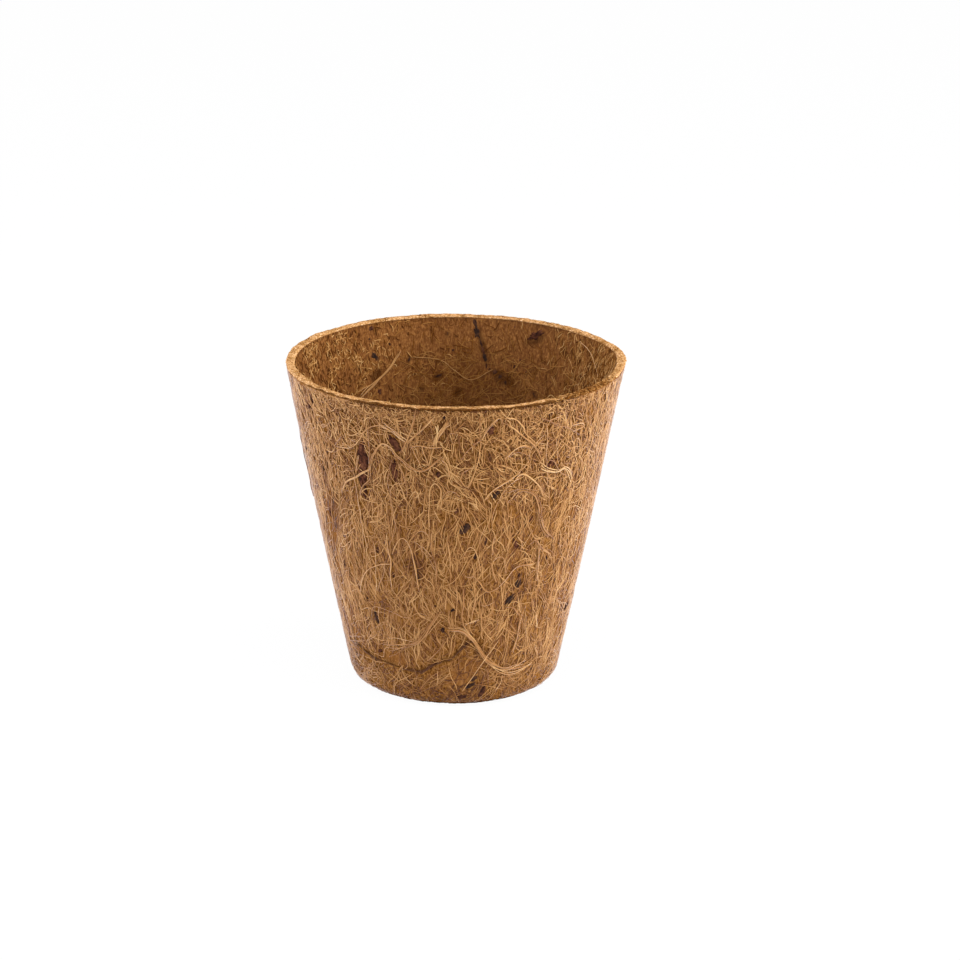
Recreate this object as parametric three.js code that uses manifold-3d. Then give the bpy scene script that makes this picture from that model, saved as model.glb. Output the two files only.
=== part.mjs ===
// A plant pot pressed from coir, the fibre of the coconut husk.
// A dished base and a tapered wall, both of latexed coir felt, are bonded in a half lap low on the wall.
// Thick strands are glued down on the felt, and flakes of husk are set in its faces.
// Millimetres, +Z up. The origin is on the ground, under the middle of the base.
// A bearing is in degrees round the pot: 0 is the front, -Y, and 90 is the right-hand side, +X.
// A rise is a place up the wall, in per cent of the pot's height.

import * as THREE from 'three';
import { mergeVertices } from 'three/addons/utils/BufferGeometryUtils.js';
import Module from 'manifold-3d';

const wasm = await Module();
wasm.setup();

// Driving dimensions of the pressed felt
const potHeight = 98.6;
const rimRadius = 50;
const footRadius = 30.7; // where the line of the outer wall meets the ground
const wallBow = 0.3; // how far the wall swells halfway up
const wallThickness = 2.6; // measured level, across the wall
const rimRound = 0.6; // wear on both edges of the cut rim
const floorThickness = 2.8;
const heelRadius = 5; // outer round between the base and the wall
const innerHeelRadius = 2.6; // round between the floor and the wall inside
const drainRadius = 5;

// Half lap between the base and the wall
const bond = 0.3; // latex film between any two bonded pieces
const lapStand = 0.6; // from the inner round up to the step in the base
const lapLength = 6; // from that step up to the edge of the base's felt, where the edge lies low

// Strands and flakes
const thickStrand = 0.5; // radius of a bundle of fibres
const plainStrand = 0.38; // radius of a strand
const fineStrand = 0.28; // radius of a single coarse fibre
const flakeThickness = 0.7;
const stripWidth = 3.6;
const stripLength = 17;
const broadFlake = 2.4;
const plainFlake = 2;
const narrowFlake = 1.5;
const longFlake = 6.4;
const middlingFlake = 4.5;
const shortFlake = 3;
const flakeNick = 0.14; // share of a flake's breadth that its torn edge wanders

// Fineness of the facets
const turnSegments = 72;
const wallSteps = 5;
const arcSteps = 5;
const strandSides = 6;
const strandStep = 2.4; // length of a strand between two of its rings
const flakeSides = 14;

// Sizes that follow from the driving dimensions
const footSlope = (rimRadius - footRadius + 4 * wallBow) / potHeight;
const footFlare = Math.atan(footSlope);
const lapThickness = (wallThickness - bond) / 2;
const lapBottom = floorThickness + innerHeelRadius + lapStand;
const crossingLift = 2 * thickStrand + bond;

const felt = { color: 0x96693e, roughness: 0.95, metalness: 0 };
const strandFibre = { color: 0xb98a55, roughness: 0.85, metalness: 0 };
const husk = { color: 0x4a2c18, roughness: 0.9, metalness: 0 };

const pot = new THREE.Group();

function addPiece(name, geometry, finish) {
  const piece = new THREE.Mesh(geometry, new THREE.MeshStandardMaterial(finish));
  piece.name = name;
  pot.add(piece);
  return piece;
}

// A closed geometry as a solid that can be cut
function solidOf(geometry) {
  const bare = geometry.clone();
  bare.deleteAttribute('normal');
  bare.deleteAttribute('uv');
  const welded = mergeVertices(bare);
  return new wasm.Manifold(new wasm.Mesh({
    numProp: 3,
    vertProperties: welded.attributes.position.array,
    triVerts: new Uint32Array(welded.index.array),
  }));
}

function geometryOf(solid) {
  const mesh = solid.getMesh();
  const geometry = new THREE.BufferGeometry();
  geometry.setAttribute('position', new THREE.BufferAttribute(mesh.vertProperties, 3));
  geometry.setIndex(new THREE.BufferAttribute(mesh.triVerts, 1));
  geometry.computeVertexNormals();
  return geometry;
}

// Outer face of the wall: a cone with a slight swell
function outerRadius(height) {
  const share = height / potHeight;
  return footRadius + (rimRadius - footRadius) * share + 4 * wallBow * share * (1 - share);
}

// How far the wall leans out at a height, from upright
function flareAt(height) {
  const share = height / potHeight;
  return Math.atan((rimRadius - footRadius + 4 * wallBow * (1 - 2 * share)) / potHeight);
}

// Profile points up or down the wall, a level distance in from its outer face
function wallLine(fromHeight, toHeight, inset) {
  const points = [];
  for (let step = 0; step <= wallSteps; step += 1) {
    const height = THREE.MathUtils.lerp(fromHeight, toHeight, step / wallSteps);
    points.push(new THREE.Vector2(outerRadius(height) - inset, height));
  }
  return points;
}

// Profile points of an arc, its angles measured from the outward direction
function arc(centreRadius, centreHeight, radius, fromAngle, toAngle) {
  const clockwise = toAngle < fromAngle;
  const curve = new THREE.EllipseCurve(
    centreRadius, centreHeight, radius, radius, fromAngle, toAngle, clockwise,
  );
  return curve.getPoints(arcSteps);
}

// Radius of the centre of a round that touches both the wall and a level face below it
function heelCentre(inset, centreHeight, radius) {
  return footRadius - inset + footSlope * centreHeight - radius / Math.cos(footFlare);
}

// A turned solid whose profile may change with the bearing
function turned(profileAt) {
  const closedProfileAt = (bearing) => {
    const profile = profileAt(bearing);
    return [...profile, profile[0].clone()];
  };
  const geometry = new THREE.LatheGeometry(closedProfileAt(0), turnSegments);
  const position = geometry.attributes.position;
  for (let segment = 0; segment <= turnSegments; segment += 1) {
    const turn = (2 * Math.PI * segment) / turnSegments;
    const profile = closedProfileAt(THREE.MathUtils.radToDeg(turn));
    profile.forEach((point, index) => {
      const vertex = segment * profile.length + index;
      position.setXYZ(vertex, point.x * Math.sin(turn), point.y, point.x * Math.cos(turn));
    });
  }
  return geometry.rotateX(Math.PI / 2);
}

// Height of the torn upper edge of the base's felt, which wanders up and down round the pot
function lapTop(bearing) {
  const span = 360;
  const place = THREE.MathUtils.euclideanModulo(bearing - lapEdge[0][0], span) + lapEdge[0][0];
  const stops = [...lapEdge, [lapEdge[0][0] + span, lapEdge[0][1]]];
  const next = stops.findIndex(([stopBearing]) => stopBearing > place);
  const [fromBearing, fromReach] = stops[next - 1];
  const [toBearing, toReach] = stops[next];
  const share = THREE.MathUtils.smoothstep(place, fromBearing, toBearing);
  return lapBottom + lapLength * THREE.MathUtils.lerp(fromReach, toReach, share);
}

// Base: a floor with a drain hole, a rounded heel, and an upstand whose outer half laps the wall
function baseProfile(bearing) {
  const innerCentreHeight = floorThickness + innerHeelRadius;
  const edge = lapTop(bearing);
  return [
    new THREE.Vector2(drainRadius, 0),
    ...arc(heelCentre(0, heelRadius, heelRadius), heelRadius, heelRadius, -Math.PI / 2, -footFlare),
    new THREE.Vector2(outerRadius(edge), edge),
    new THREE.Vector2(outerRadius(edge) - lapThickness, edge),
    new THREE.Vector2(outerRadius(lapBottom) - lapThickness, lapBottom),
    new THREE.Vector2(outerRadius(lapBottom) - wallThickness, lapBottom),
    ...arc(
      heelCentre(wallThickness, innerCentreHeight, innerHeelRadius),
      innerCentreHeight, innerHeelRadius, -footFlare, -Math.PI / 2,
    ),
    new THREE.Vector2(drainRadius, floorThickness),
  ];
}

// Wall: a tapered sleeve whose inner half reaches down behind the upstand, with a cut, worn rim
function wallProfile(bearing) {
  const shoulder = lapTop(bearing) + bond;
  const toe = lapBottom + bond;
  const roundHeight = potHeight - rimRound;
  const outerEdge = outerRadius(roundHeight);
  const innerEdge = outerEdge - wallThickness;
  return [
    new THREE.Vector2(outerRadius(toe) - wallThickness, toe),
    new THREE.Vector2(outerRadius(toe) - wallThickness + lapThickness, toe),
    new THREE.Vector2(outerRadius(shoulder) - wallThickness + lapThickness, shoulder),
    ...wallLine(shoulder, roundHeight, 0),
    ...arc(outerEdge - rimRound, roundHeight, rimRound, 0, Math.PI / 2).slice(1),
    ...arc(innerEdge + rimRound, roundHeight, rimRound, Math.PI / 2, Math.PI).slice(0, -1),
    ...wallLine(roundHeight, shoulder, wallThickness),
  ];
}

// A point on one face of the wall, lifted off it, with the directions along, up and out of that face
function seat(face, bearing, rise, lift) {
  const height = (rise / 100) * potHeight;
  const turn = THREE.MathUtils.degToRad(bearing);
  const flare = flareAt(height);
  const radius = face === 'outer' ? outerRadius(height) : outerRadius(height) - wallThickness;
  const round = new THREE.Vector3(Math.sin(turn), -Math.cos(turn), 0);
  const up = round.clone().multiplyScalar(Math.sin(flare)).setZ(Math.cos(flare));
  const along = new THREE.Vector3(Math.cos(turn), Math.sin(turn), 0);
  if (face === 'inner') {
    along.negate();
  }
  const out = along.clone().cross(up);
  const point = round.multiplyScalar(radius).setZ(height).addScaledVector(out, lift);
  return { point, along, up, out };
}

// A strand's middle line: a smooth curve through bearings, rises and extra lifts, laid on the wall
class StrandRoute extends THREE.Curve {
  constructor(face, stops, radius) {
    super();
    this.face = face;
    this.radius = radius;
    const points = stops.map(([bearing, rise, lift = 0]) => new THREE.Vector3(bearing, rise, lift));
    this.line = new THREE.CatmullRomCurve3(points);
  }

  getPoint(share, target = new THREE.Vector3()) {
    const stop = this.line.getPoint(share);
    return target.copy(seat(this.face, stop.x, stop.y, bond + this.radius + stop.z).point);
  }
}

function ringShape(radius, sides) {
  const points = [];
  for (let side = 0; side < sides; side += 1) {
    const angle = (2 * Math.PI * side) / sides;
    points.push(new THREE.Vector2(radius * Math.cos(angle), radius * Math.sin(angle)));
  }
  return new THREE.Shape(points);
}

function addStrand(face, { name, radius, stops }) {
  const route = new StrandRoute(face, stops, radius);
  const geometry = new THREE.ExtrudeGeometry(ringShape(radius, strandSides), {
    steps: Math.ceil(route.getLength() / strandStep),
    bevelEnabled: false,
    extrudePath: route,
  });
  addPiece(`strand_${name}`, geometry, strandFibre);
}

// A torn flake's outline: an oval whose edge wanders, grown all round by a margin
function flakeShape(width, length, margin) {
  const points = [];
  for (let side = 0; side < flakeSides; side += 1) {
    const angle = (2 * Math.PI * side) / flakeSides;
    const wander = 1 + flakeNick * Math.sin(3 * angle + width) * Math.cos(2 * angle + length);
    points.push(new THREE.Vector2(
      ((width / 2) * wander + margin) * Math.cos(angle),
      ((length / 2) * wander + margin) * Math.sin(angle),
    ));
  }
  return new THREE.Shape(points);
}

// Frame of a flake: x across it, y along it, z out of the wall, with z = 0 in the wall's face
function flakeFrame(face, { bearing, rise, lean }) {
  const { point, along, up, out } = seat(face, bearing, rise, 0);
  const turn = new THREE.Matrix4().makeRotationZ(THREE.MathUtils.degToRad(-lean));
  return new THREE.Matrix4().makeBasis(along, up, out).setPosition(point).multiply(turn);
}

function addFlake(face, flake) {
  const shape = flakeShape(flake.width, flake.length, 0);
  const geometry = new THREE.ExtrudeGeometry(shape, { depth: flakeThickness, bevelEnabled: false });
  geometry.translate(0, 0, -flakeThickness);
  addPiece(`husk_${flake.name}`, geometry, husk).applyMatrix4(flakeFrame(face, flake));
}

// The pocket that a flake leaves in the felt, open at the face and a bond's thickness clear of it
function pocketOf(face, flake) {
  const depth = flakeThickness + bond;
  const shape = flakeShape(flake.width, flake.length, bond);
  const geometry = new THREE.ExtrudeGeometry(shape, { depth: depth + wallThickness, bevelEnabled: false });
  geometry.translate(0, 0, -depth);
  return solidOf(geometry.applyMatrix4(flakeFrame(face, flake)));
}

// The base's torn edge, as [bearing, reach in lap lengths]: highest just right of the front
const lapEdge = [
  [-110, 1.3], [-65, 1.5], [-42, 1.1], [-20, 0.9], [-4, 1.65], [9, 2.75], [20, 1.65], [31, 1],
  [60, 1.2], [105, 1], [150, 1.4], [200, 1],
];

// Strands that stand out on a face of the wall, each a list of [bearing, rise] stops and,
// where it crosses over another strand, a lift
const outerStrands = [
  {
    name: 'heel_bundle', radius: thickStrand,
    stops: [[-3, 28], [4, 27], [10, 22.8], [15, 17.2], [21, 13.6], [28, 11.5], [36, 11.8], [43, 13.2]],
  },
  {
    name: 'heel_arm', radius: plainStrand,
    stops: [[-5, 33.5], [-10, 29], [-17, 23], [-25, 21], [-36, 18.2]],
  },
  {
    name: 'heel_crossing', radius: fineStrand,
    stops: [[22, 22.8], [15, 17.2, crossingLift], [9, 10.5], [4.5, 6]],
  },
  {
    name: 'left_arch', radius: plainStrand,
    stops: [
      [-33, 74.5], [-31.5, 81], [-28, 85.8], [-25.5, 87.7], [-22.5, 86.7], [-20, 83.7], [-12, 79.5],
      [-3.5, 84.5],
    ],
  },
  {
    name: 'left_wave', radius: fineStrand,
    stops: [[-47, 83], [-39.5, 84], [-35.5, 86.7], [-31.5, 91], [-27, 93], [-22, 92.8], [-17.5, 89.8]],
  },
  {
    name: 'left_upright', radius: fineStrand,
    stops: [[-39.5, 76], [-39.3, 70], [-39, 60.3], [-38, 51.8]],
  },
  {
    name: 'left_hook', radius: fineStrand,
    stops: [[-27, 48], [-33, 46.7], [-39, 44.2], [-43.5, 40.6], [-47, 35.5]],
  },
  {
    name: 'low_left_wave', radius: fineStrand,
    stops: [[-42, 27], [-40.3, 31], [-36.5, 32], [-28, 31.2], [-22, 30.3], [-16.5, 32.4], [-13, 32]],
  },
  {
    name: 'centre_hook', radius: fineStrand,
    stops: [[-10, 56.8], [-9.7, 67], [-9, 73.5], [-7, 76], [-5, 73.6], [-5.8, 69.4]],
  },
  {
    name: 'centre_loop', radius: fineStrand,
    stops: [[8.5, 89.7], [8.3, 85], [6.8, 79], [4.4, 75], [2, 77.3], [3, 80]],
  },
  {
    name: 'centre_zigzag', radius: fineStrand,
    stops: [
      [4, 46.6], [5.5, 45.3], [8, 45.4], [10, 43.7], [14, 39.9], [18.5, 40.7], [22, 43.1], [27, 47], [34, 47],
    ],
  },
  {
    name: 'centre_thread', radius: fineStrand,
    stops: [[12, 34], [12.4, 28.5], [13.2, 24]],
  },
  {
    name: 'rim_straw', radius: plainStrand,
    stops: [[-6, 95], [-6, 88.8]],
  },
  {
    name: 'rim_straw_right', radius: plainStrand,
    stops: [[17.5, 97], [20.5, 95.5], [24, 92.3]],
  },
  {
    name: 'right_arch', radius: plainStrand,
    stops: [[20, 69], [24.5, 72.7], [30.5, 71], [33.5, 67], [35, 62.5], [37.5, 57.8], [43, 52.8]],
  },
  {
    name: 'right_squiggle', radius: thickStrand,
    stops: [[31, 80.5], [35, 78], [40, 76.6], [43.5, 77], [46.5, 75], [48.5, 72]],
  },
  {
    name: 'right_diagonal', radius: fineStrand,
    stops: [[58, 70], [51, 64.4], [47.5, 58.8]],
  },
  {
    name: 'right_upright', radius: plainStrand,
    stops: [[36, 52.8], [38.3, 41]],
  },
  {
    name: 'side_right_sweep', radius: fineStrand,
    stops: [[92, 84], [98, 75], [101, 63], [99, 52]],
  },
  {
    name: 'side_left_sweep', radius: plainStrand,
    stops: [[-95, 88], [-88, 80], [-84, 69], [-85, 58]],
  },
  {
    name: 'back_arch', radius: plainStrand,
    stops: [[150, 70], [156, 77], [164, 79], [171, 74], [174, 66]],
  },
  {
    name: 'back_bundle', radius: thickStrand,
    stops: [[205, 16], [214, 20], [222, 27], [226, 35], [236, 41]],
  },
  {
    name: 'back_hook', radius: fineStrand,
    stops: [[140, 50], [141, 60], [145, 64], [149, 60]],
  },
  {
    name: 'back_loop', radius: fineStrand,
    stops: [[232, 86], [231, 78], [235, 74], [239, 77], [238, 83]],
  },
  {
    name: 'back_straw', radius: plainStrand,
    stops: [[180, 92], [182, 81]],
  },
  {
    name: 'back_thread', radius: fineStrand,
    stops: [[160, 14], [168, 20], [178, 23], [188, 21]],
  },
  {
    name: 'back_wave', radius: fineStrand,
    stops: [[190, 40], [197, 44], [205, 42], [213, 46], [222, 44]],
  },
];

const innerStrands = [
  {
    name: 'inner_straw', radius: thickStrand,
    stops: [[-158, 90], [-153, 85.2], [-146.5, 81.5], [-137.5, 78.6]],
  },
  {
    name: 'inner_wave', radius: fineStrand,
    stops: [[-163, 87.7], [-174, 86.3], [-179.5, 83.2], [-186.5, 80.2], [-195, 83.7]],
  },
  {
    name: 'inner_straw_right', radius: plainStrand,
    stops: [[126.5, 97.6], [117.5, 95], [109.5, 89.8]],
  },
];

// Husk flakes; lean tips a flake's long side from upright, clockwise seen from in front of its face
const outerFlakes = [
  { name: 'left_tall', bearing: -35, rise: 79.3, lean: 8, width: stripWidth, length: stripLength },
  { name: 'upper_left', bearing: -21.5, rise: 87.8, lean: -37, width: broadFlake, length: longFlake },
  { name: 'mid_left', bearing: -22, rise: 79, lean: 0, width: plainFlake, length: longFlake },
  { name: 'low_left', bearing: -39.3, rise: 28, lean: -12, width: narrowFlake, length: middlingFlake },
  { name: 'centre', bearing: 4, rise: 61.1, lean: 40, width: broadFlake, length: middlingFlake },
  { name: 'centre_right', bearing: 15.3, rise: 71.8, lean: 35, width: narrowFlake, length: shortFlake },
  { name: 'near_rim', bearing: 12.2, rise: 92.7, lean: 0, width: plainFlake, length: shortFlake },
  { name: 'upper_right', bearing: 37, rise: 79.2, lean: 62, width: plainFlake, length: middlingFlake },
  { name: 'mid_right', bearing: 25.3, rise: 54.8, lean: -31, width: narrowFlake, length: middlingFlake },
  { name: 'low_right', bearing: 28.6, rise: 41, lean: 0, width: broadFlake, length: shortFlake },
  { name: 'lower_right', bearing: 25.6, rise: 36.2, lean: 42, width: plainFlake, length: middlingFlake },
  { name: 'right_edge', bearing: 69, rise: 26, lean: 68, width: narrowFlake, length: middlingFlake },
  { name: 'side_right', bearing: 110, rise: 68, lean: 20, width: plainFlake, length: middlingFlake },
  { name: 'side_left', bearing: -100, rise: 45, lean: -25, width: broadFlake, length: longFlake },
  { name: 'back', bearing: 170, rise: 52, lean: -15, width: plainFlake, length: longFlake },
  { name: 'back_upper', bearing: 215, rise: 82, lean: 30, width: broadFlake, length: middlingFlake },
];

const innerFlakes = [
  { name: 'inner_left', bearing: -147.5, rise: 89.3, lean: -40, width: plainFlake, length: middlingFlake },
  { name: 'inner_back', bearing: 171.8, rise: 95, lean: -12, width: plainFlake, length: middlingFlake },
  { name: 'inner_right', bearing: 148, rise: 94.2, lean: 62, width: broadFlake, length: longFlake },
];

let wall = solidOf(turned(wallProfile));
for (const [face, flakes] of [['outer', outerFlakes], ['inner', innerFlakes]]) {
  for (const flake of flakes) {
    wall = wall.subtract(pocketOf(face, flake));
    addFlake(face, flake);
  }
}
addPiece('base_dish', turned(baseProfile), felt);
addPiece('side_wall', geometryOf(wall), felt);
outerStrands.forEach((strand) => addStrand('outer', strand));
innerStrands.forEach((strand) => addStrand('inner', strand));

export default pot;
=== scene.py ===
# %% [markdown]
# # A coir pot, fibre by fibre
# A coir pot is pressed from the fibre of coconut husks, bonded with latex. To the eye it is a tangle: golden
# strands over brown felt, dark flakes of husk, and a pale cut rim. A flat texture can't give that tangle its
# small shadows, so this lesson lays many thousand real fibres on the pot, with whole numpy arrays at a time.
# The measured CAD model comes first and stays as it is. Everything below is built in its frame, in metres.

# %% Load the measured pot
import math

import bpy
import numpy as np
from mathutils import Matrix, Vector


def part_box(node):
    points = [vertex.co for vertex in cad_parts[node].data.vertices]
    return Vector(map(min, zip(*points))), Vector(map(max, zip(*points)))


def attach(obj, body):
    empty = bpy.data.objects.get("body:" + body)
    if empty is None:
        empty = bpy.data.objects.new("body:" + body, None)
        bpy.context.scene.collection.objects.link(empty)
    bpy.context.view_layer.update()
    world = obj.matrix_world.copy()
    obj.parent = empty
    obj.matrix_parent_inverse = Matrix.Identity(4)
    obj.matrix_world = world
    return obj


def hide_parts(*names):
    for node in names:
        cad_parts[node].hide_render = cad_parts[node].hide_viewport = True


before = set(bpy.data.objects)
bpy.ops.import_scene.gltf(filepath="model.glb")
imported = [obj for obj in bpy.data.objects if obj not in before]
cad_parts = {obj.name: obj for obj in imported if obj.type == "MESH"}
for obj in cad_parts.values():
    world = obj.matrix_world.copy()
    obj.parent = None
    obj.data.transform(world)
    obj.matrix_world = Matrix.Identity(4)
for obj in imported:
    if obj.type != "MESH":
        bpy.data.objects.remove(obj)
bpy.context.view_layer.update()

print("nodes in the frame:", len(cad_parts))

# %% [markdown]
# ## Two small helpers
# Colours are written as the hex values that a paint program shows. Blender's shaders work in linear light,
# so one function converts them. A second one adds a shader node with its settings and its links in one line,
# which keeps each material short enough to read at a glance.

# %% Colour and node helpers
def linear(hex_colour):
    """An sRGB hex colour as linear red, green and blue with alpha 1, by the standard sRGB curve."""
    channels = np.array([int(hex_colour[i:i + 2], 16) for i in (1, 3, 5)]) / 255
    curve = np.where(channels <= 0.04045, channels / 12.92, ((channels + 0.055) / 1.055) ** 2.4)
    return (*curve.tolist(), 1.0)


def add_node(tree, kind, settings=(), inputs=()):
    """Adds a node. Settings are its own properties, with "stops" for a colour ramp's places and colours.
    Inputs are its sockets, by name or number, each given a value or linked from another node's output."""
    node = tree.nodes.new(kind)
    for name, value in dict(settings).items():
        if name == "stops":
            ramp = node.color_ramp.elements
            while len(ramp) < len(value):
                ramp.new(1.0)
            for element, (place, colour) in zip(ramp, value):
                element.position = place
                element.color = linear(colour)
        else:
            setattr(node, name, value)
    for name, value in dict(inputs).items():
        if isinstance(value, bpy.types.NodeSocket):
            tree.links.new(value, node.inputs[name])
        else:
            node.inputs[name].default_value = value
    return node.outputs


def start_material(name):
    """A new node material, as the material, its node tree and its main shader node."""
    material = bpy.data.materials.new(name)
    material.use_nodes = True
    tree = material.node_tree
    return material, tree, tree.nodes["Principled BSDF"]


# %% [markdown]
# ## The pot's form
# The felt is a turned shape, so one line from the middle of the base to the rim describes each of its faces.
# We call such a line a skin. A place on the pot is then a turn round the axis, a run along the skin and a
# lift out of it, and every fibre below is laid in those three numbers. The sizes are the CAD model's own.

# %% Sizes of the felt
MM = 0.001
POT_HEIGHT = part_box("side_wall")[1][2]
RIM_RADIUS = 50 * MM
FOOT_RADIUS = 30.7 * MM
WALL_BOW = 0.3 * MM
WALL_THICKNESS = 2.6 * MM
RIM_ROUND = 0.6 * MM
FLOOR_THICKNESS = 2.8 * MM
HEEL_RADIUS = 5 * MM
INNER_HEEL_RADIUS = 2.6 * MM
DRAIN_RADIUS = 5 * MM
FOOT_SLOPE = (RIM_RADIUS - FOOT_RADIUS + 4 * WALL_BOW) / POT_HEIGHT
FOOT_FLARE = math.atan(FOOT_SLOPE)


def outer_radius(height):
    """Outer radius at a height: a straight line from foot to rim, plus a slight swell that peaks halfway."""
    share = height / POT_HEIGHT
    return FOOT_RADIUS + (RIM_RADIUS - FOOT_RADIUS) * share + 4 * WALL_BOW * share * (1 - share)


def heel_centre(inset, centre_height, radius):
    """Radius of the centre of a round that touches the wall, set in by inset, and the level face below."""
    return FOOT_RADIUS - inset + FOOT_SLOPE * centre_height - radius / math.cos(FOOT_FLARE)


print("pot height in mm:", round(POT_HEIGHT / MM, 2))


# %% Skins of the pot
def make_skin(radius, height, side):
    """A skin: the points of its line, the run along it, and the direction out of the felt at each point.
    That direction is the line's own direction, turned a quarter turn to the given side."""
    step = np.hypot(np.diff(radius), np.diff(height))
    run = np.concatenate([[0.0], np.cumsum(step)])
    along_r = np.gradient(radius, run)
    along_z = np.gradient(height, run)
    size = np.hypot(along_r, along_z)
    return {"run": run, "radius": radius, "height": height,
            "out_r": side * along_z / size, "out_z": -side * along_r / size}


def heel_line(inset, level, radius):
    """Points of a level face, the round at its edge and the wall above it, from the drain hole to the rim."""
    centre_height = level + radius
    centre = heel_centre(inset, centre_height, radius)
    angle = np.linspace(-math.pi / 2, -FOOT_FLARE, 24)
    flat = np.linspace(DRAIN_RADIUS, centre, 40, endpoint=False)
    wall_start = centre_height - radius * math.sin(FOOT_FLARE)
    wall = np.linspace(wall_start, POT_HEIGHT - RIM_ROUND, 121)[1:]
    line_r = np.concatenate([flat, centre + radius * np.cos(angle), outer_radius(wall) - inset])
    line_z = np.concatenate([np.full(flat.size, level), centre_height + radius * np.sin(angle), wall])
    return line_r, line_z


def rim_line():
    """Points over the cut rim: the outer round, the flat edge and the inner round."""
    edge = POT_HEIGHT - RIM_ROUND
    outer = outer_radius(edge) - RIM_ROUND
    inner = outer_radius(edge) - WALL_THICKNESS + RIM_ROUND
    angle = np.linspace(0, math.pi / 2, 8)
    line_r = np.concatenate([outer + RIM_ROUND * np.cos(angle), np.linspace(outer, inner, 10)[1:-1],
                             inner + RIM_ROUND * np.cos(angle + math.pi / 2)])
    line_z = np.concatenate([edge + RIM_ROUND * np.sin(angle), np.full(8, POT_HEIGHT),
                             edge + RIM_ROUND * np.sin(angle + math.pi / 2)])
    return line_r, line_z


OUTER = make_skin(*heel_line(0, 0, HEEL_RADIUS), 1)
INNER = make_skin(*heel_line(WALL_THICKNESS, FLOOR_THICKNESS, INNER_HEEL_RADIUS), -1)
RIM = make_skin(*rim_line(), 1)
print("run up the outer skin in mm:", round(OUTER["run"][-1] / MM, 1))


# %% Placing points on a skin
KINK_SIZE, KINK_DEPTH = 1.0 * MM, 8 * MM
KINK_BEARING, KINK_SPREAD = 102, 15
TOP_RUN, INNER_TOP, RIM_END = (skin["run"][-1] for skin in (OUTER, INNER, RIM))


def ease(share):
    """A smooth step from 0 to 1 as the share goes from 0 to 1: three times its square, less twice its
    cube."""
    share = np.clip(share, 0, 1)
    return share * share * (3 - 2 * share)


def rim_kink(turn, height):
    """How far the felt is pushed out near the rim: a soft corner on the right, a bell curve over the bearing,
    gone a few millimetres down."""
    away = np.mod(np.degrees(turn) - KINK_BEARING + 180, 360) - 180
    near_rim = ease((height - POT_HEIGHT + KINK_DEPTH) / KINK_DEPTH)
    return KINK_SIZE * np.exp(-(away / KINK_SPREAD) ** 2) * near_rim


def place(skin, turn, run, lift):
    """Points at a turn, a run and a lift: the skin's point at that run, moved out by the lift, then turned
    about z."""
    radius, height, out_r, out_z = (np.interp(run, skin["run"], skin[key])
                                    for key in ("radius", "height", "out_r", "out_z"))
    radius = radius + lift * out_r + rim_kink(turn, height)
    return np.stack([radius * np.sin(turn), -radius * np.cos(turn), height + lift * out_z], axis=-1)


def outward(skin, turn, run):
    """Directions out of the felt at those places, one unit long."""
    out_r = np.interp(run, skin["run"], skin["out_r"])
    out_z = np.interp(run, skin["run"], skin["out_z"])
    return np.stack([out_r * np.sin(turn), -out_r * np.cos(turn), out_z], axis=-1)


def run_at(skin, height):
    """The run up a skin at which its wall has the given height."""
    return np.interp(height, skin["height"], skin["run"])


print("run over the cut rim in mm:", round(RIM_END / MM, 2))

# %% [markdown]
# ## Zones of the pot
# No two sides of a coir pot are alike. The mat is coarse in front and behind, and combed smooth at the
# sides. The strip under the lip gets painted shade, one stretch of the lip is frayed, and the heel gets
# painted shade just above the ground. Painted masks could hold these zones, but a function has no seam:
# each one takes a turn or a run, eases between 0 and 1, and every layer below can ask it for its share.

# %% Zones by turn and run
COARSE_FROM, COARSE_EASE = -0.45, 0.5
LIP_LEFT, LIP_RIGHT = -44, 53
LIP_LEFT_EASE, LIP_RIGHT_EASE = 16, 14
LIP_SHADE, LIP_SHADE_EASE = 0.8 * MM, 0.5 * MM
FRAY_BEARING, FRAY_SPREAD = 52, 11
HEEL_SHADE_ONSET, HEEL_SHADE_TOP, HEEL_EASE = 0.2 * MM, 1.8 * MM, 1.5 * MM
NOISE_VALUES = 4096
CORNER_PRIMES = np.array([73856093, 19349663, 83492791])


def lip_front(turns):
    """1 round the front, where the lip stands proud of the wall, eased to 0 at both sides."""
    bearing = np.degrees(turns)
    return ease((bearing - LIP_LEFT) / LIP_LEFT_EASE) * ease((LIP_RIGHT - bearing) / LIP_RIGHT_EASE)


def under_lip(turns, run):
    """How deep a place on the outer skin lies in the shade under the cut lip: the last millimetre of the
    front, eased away to the sides."""
    return lip_front(turns) * ease((run - TOP_RUN + LIP_SHADE) / LIP_SHADE_EASE)


def coarse_zone(turns):
    """How coarse the mat is at a turn: the cosine of twice the turn, eased, so that the front and the back
    are coarse and the sides are combed smooth."""
    return ease((np.cos(2 * turns) - COARSE_FROM) / COARSE_EASE)


def frayed_lip(turns):
    """How frayed the cut lip is at a turn: a bell curve over the bearing. It peaks on the right of the front,
    where the felt was torn and not cut."""
    return np.exp(-((np.degrees(turns) - FRAY_BEARING) / FRAY_SPREAD) ** 2)


def heel_shade(run):
    """How much painted shade the heel gets at a run up the outer skin: a thin band just above the
    ground."""
    height = np.interp(run, OUTER["run"], OUTER["height"])
    return ease(height / HEEL_SHADE_ONSET) * ease((HEEL_SHADE_TOP - height) / HEEL_EASE)


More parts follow.
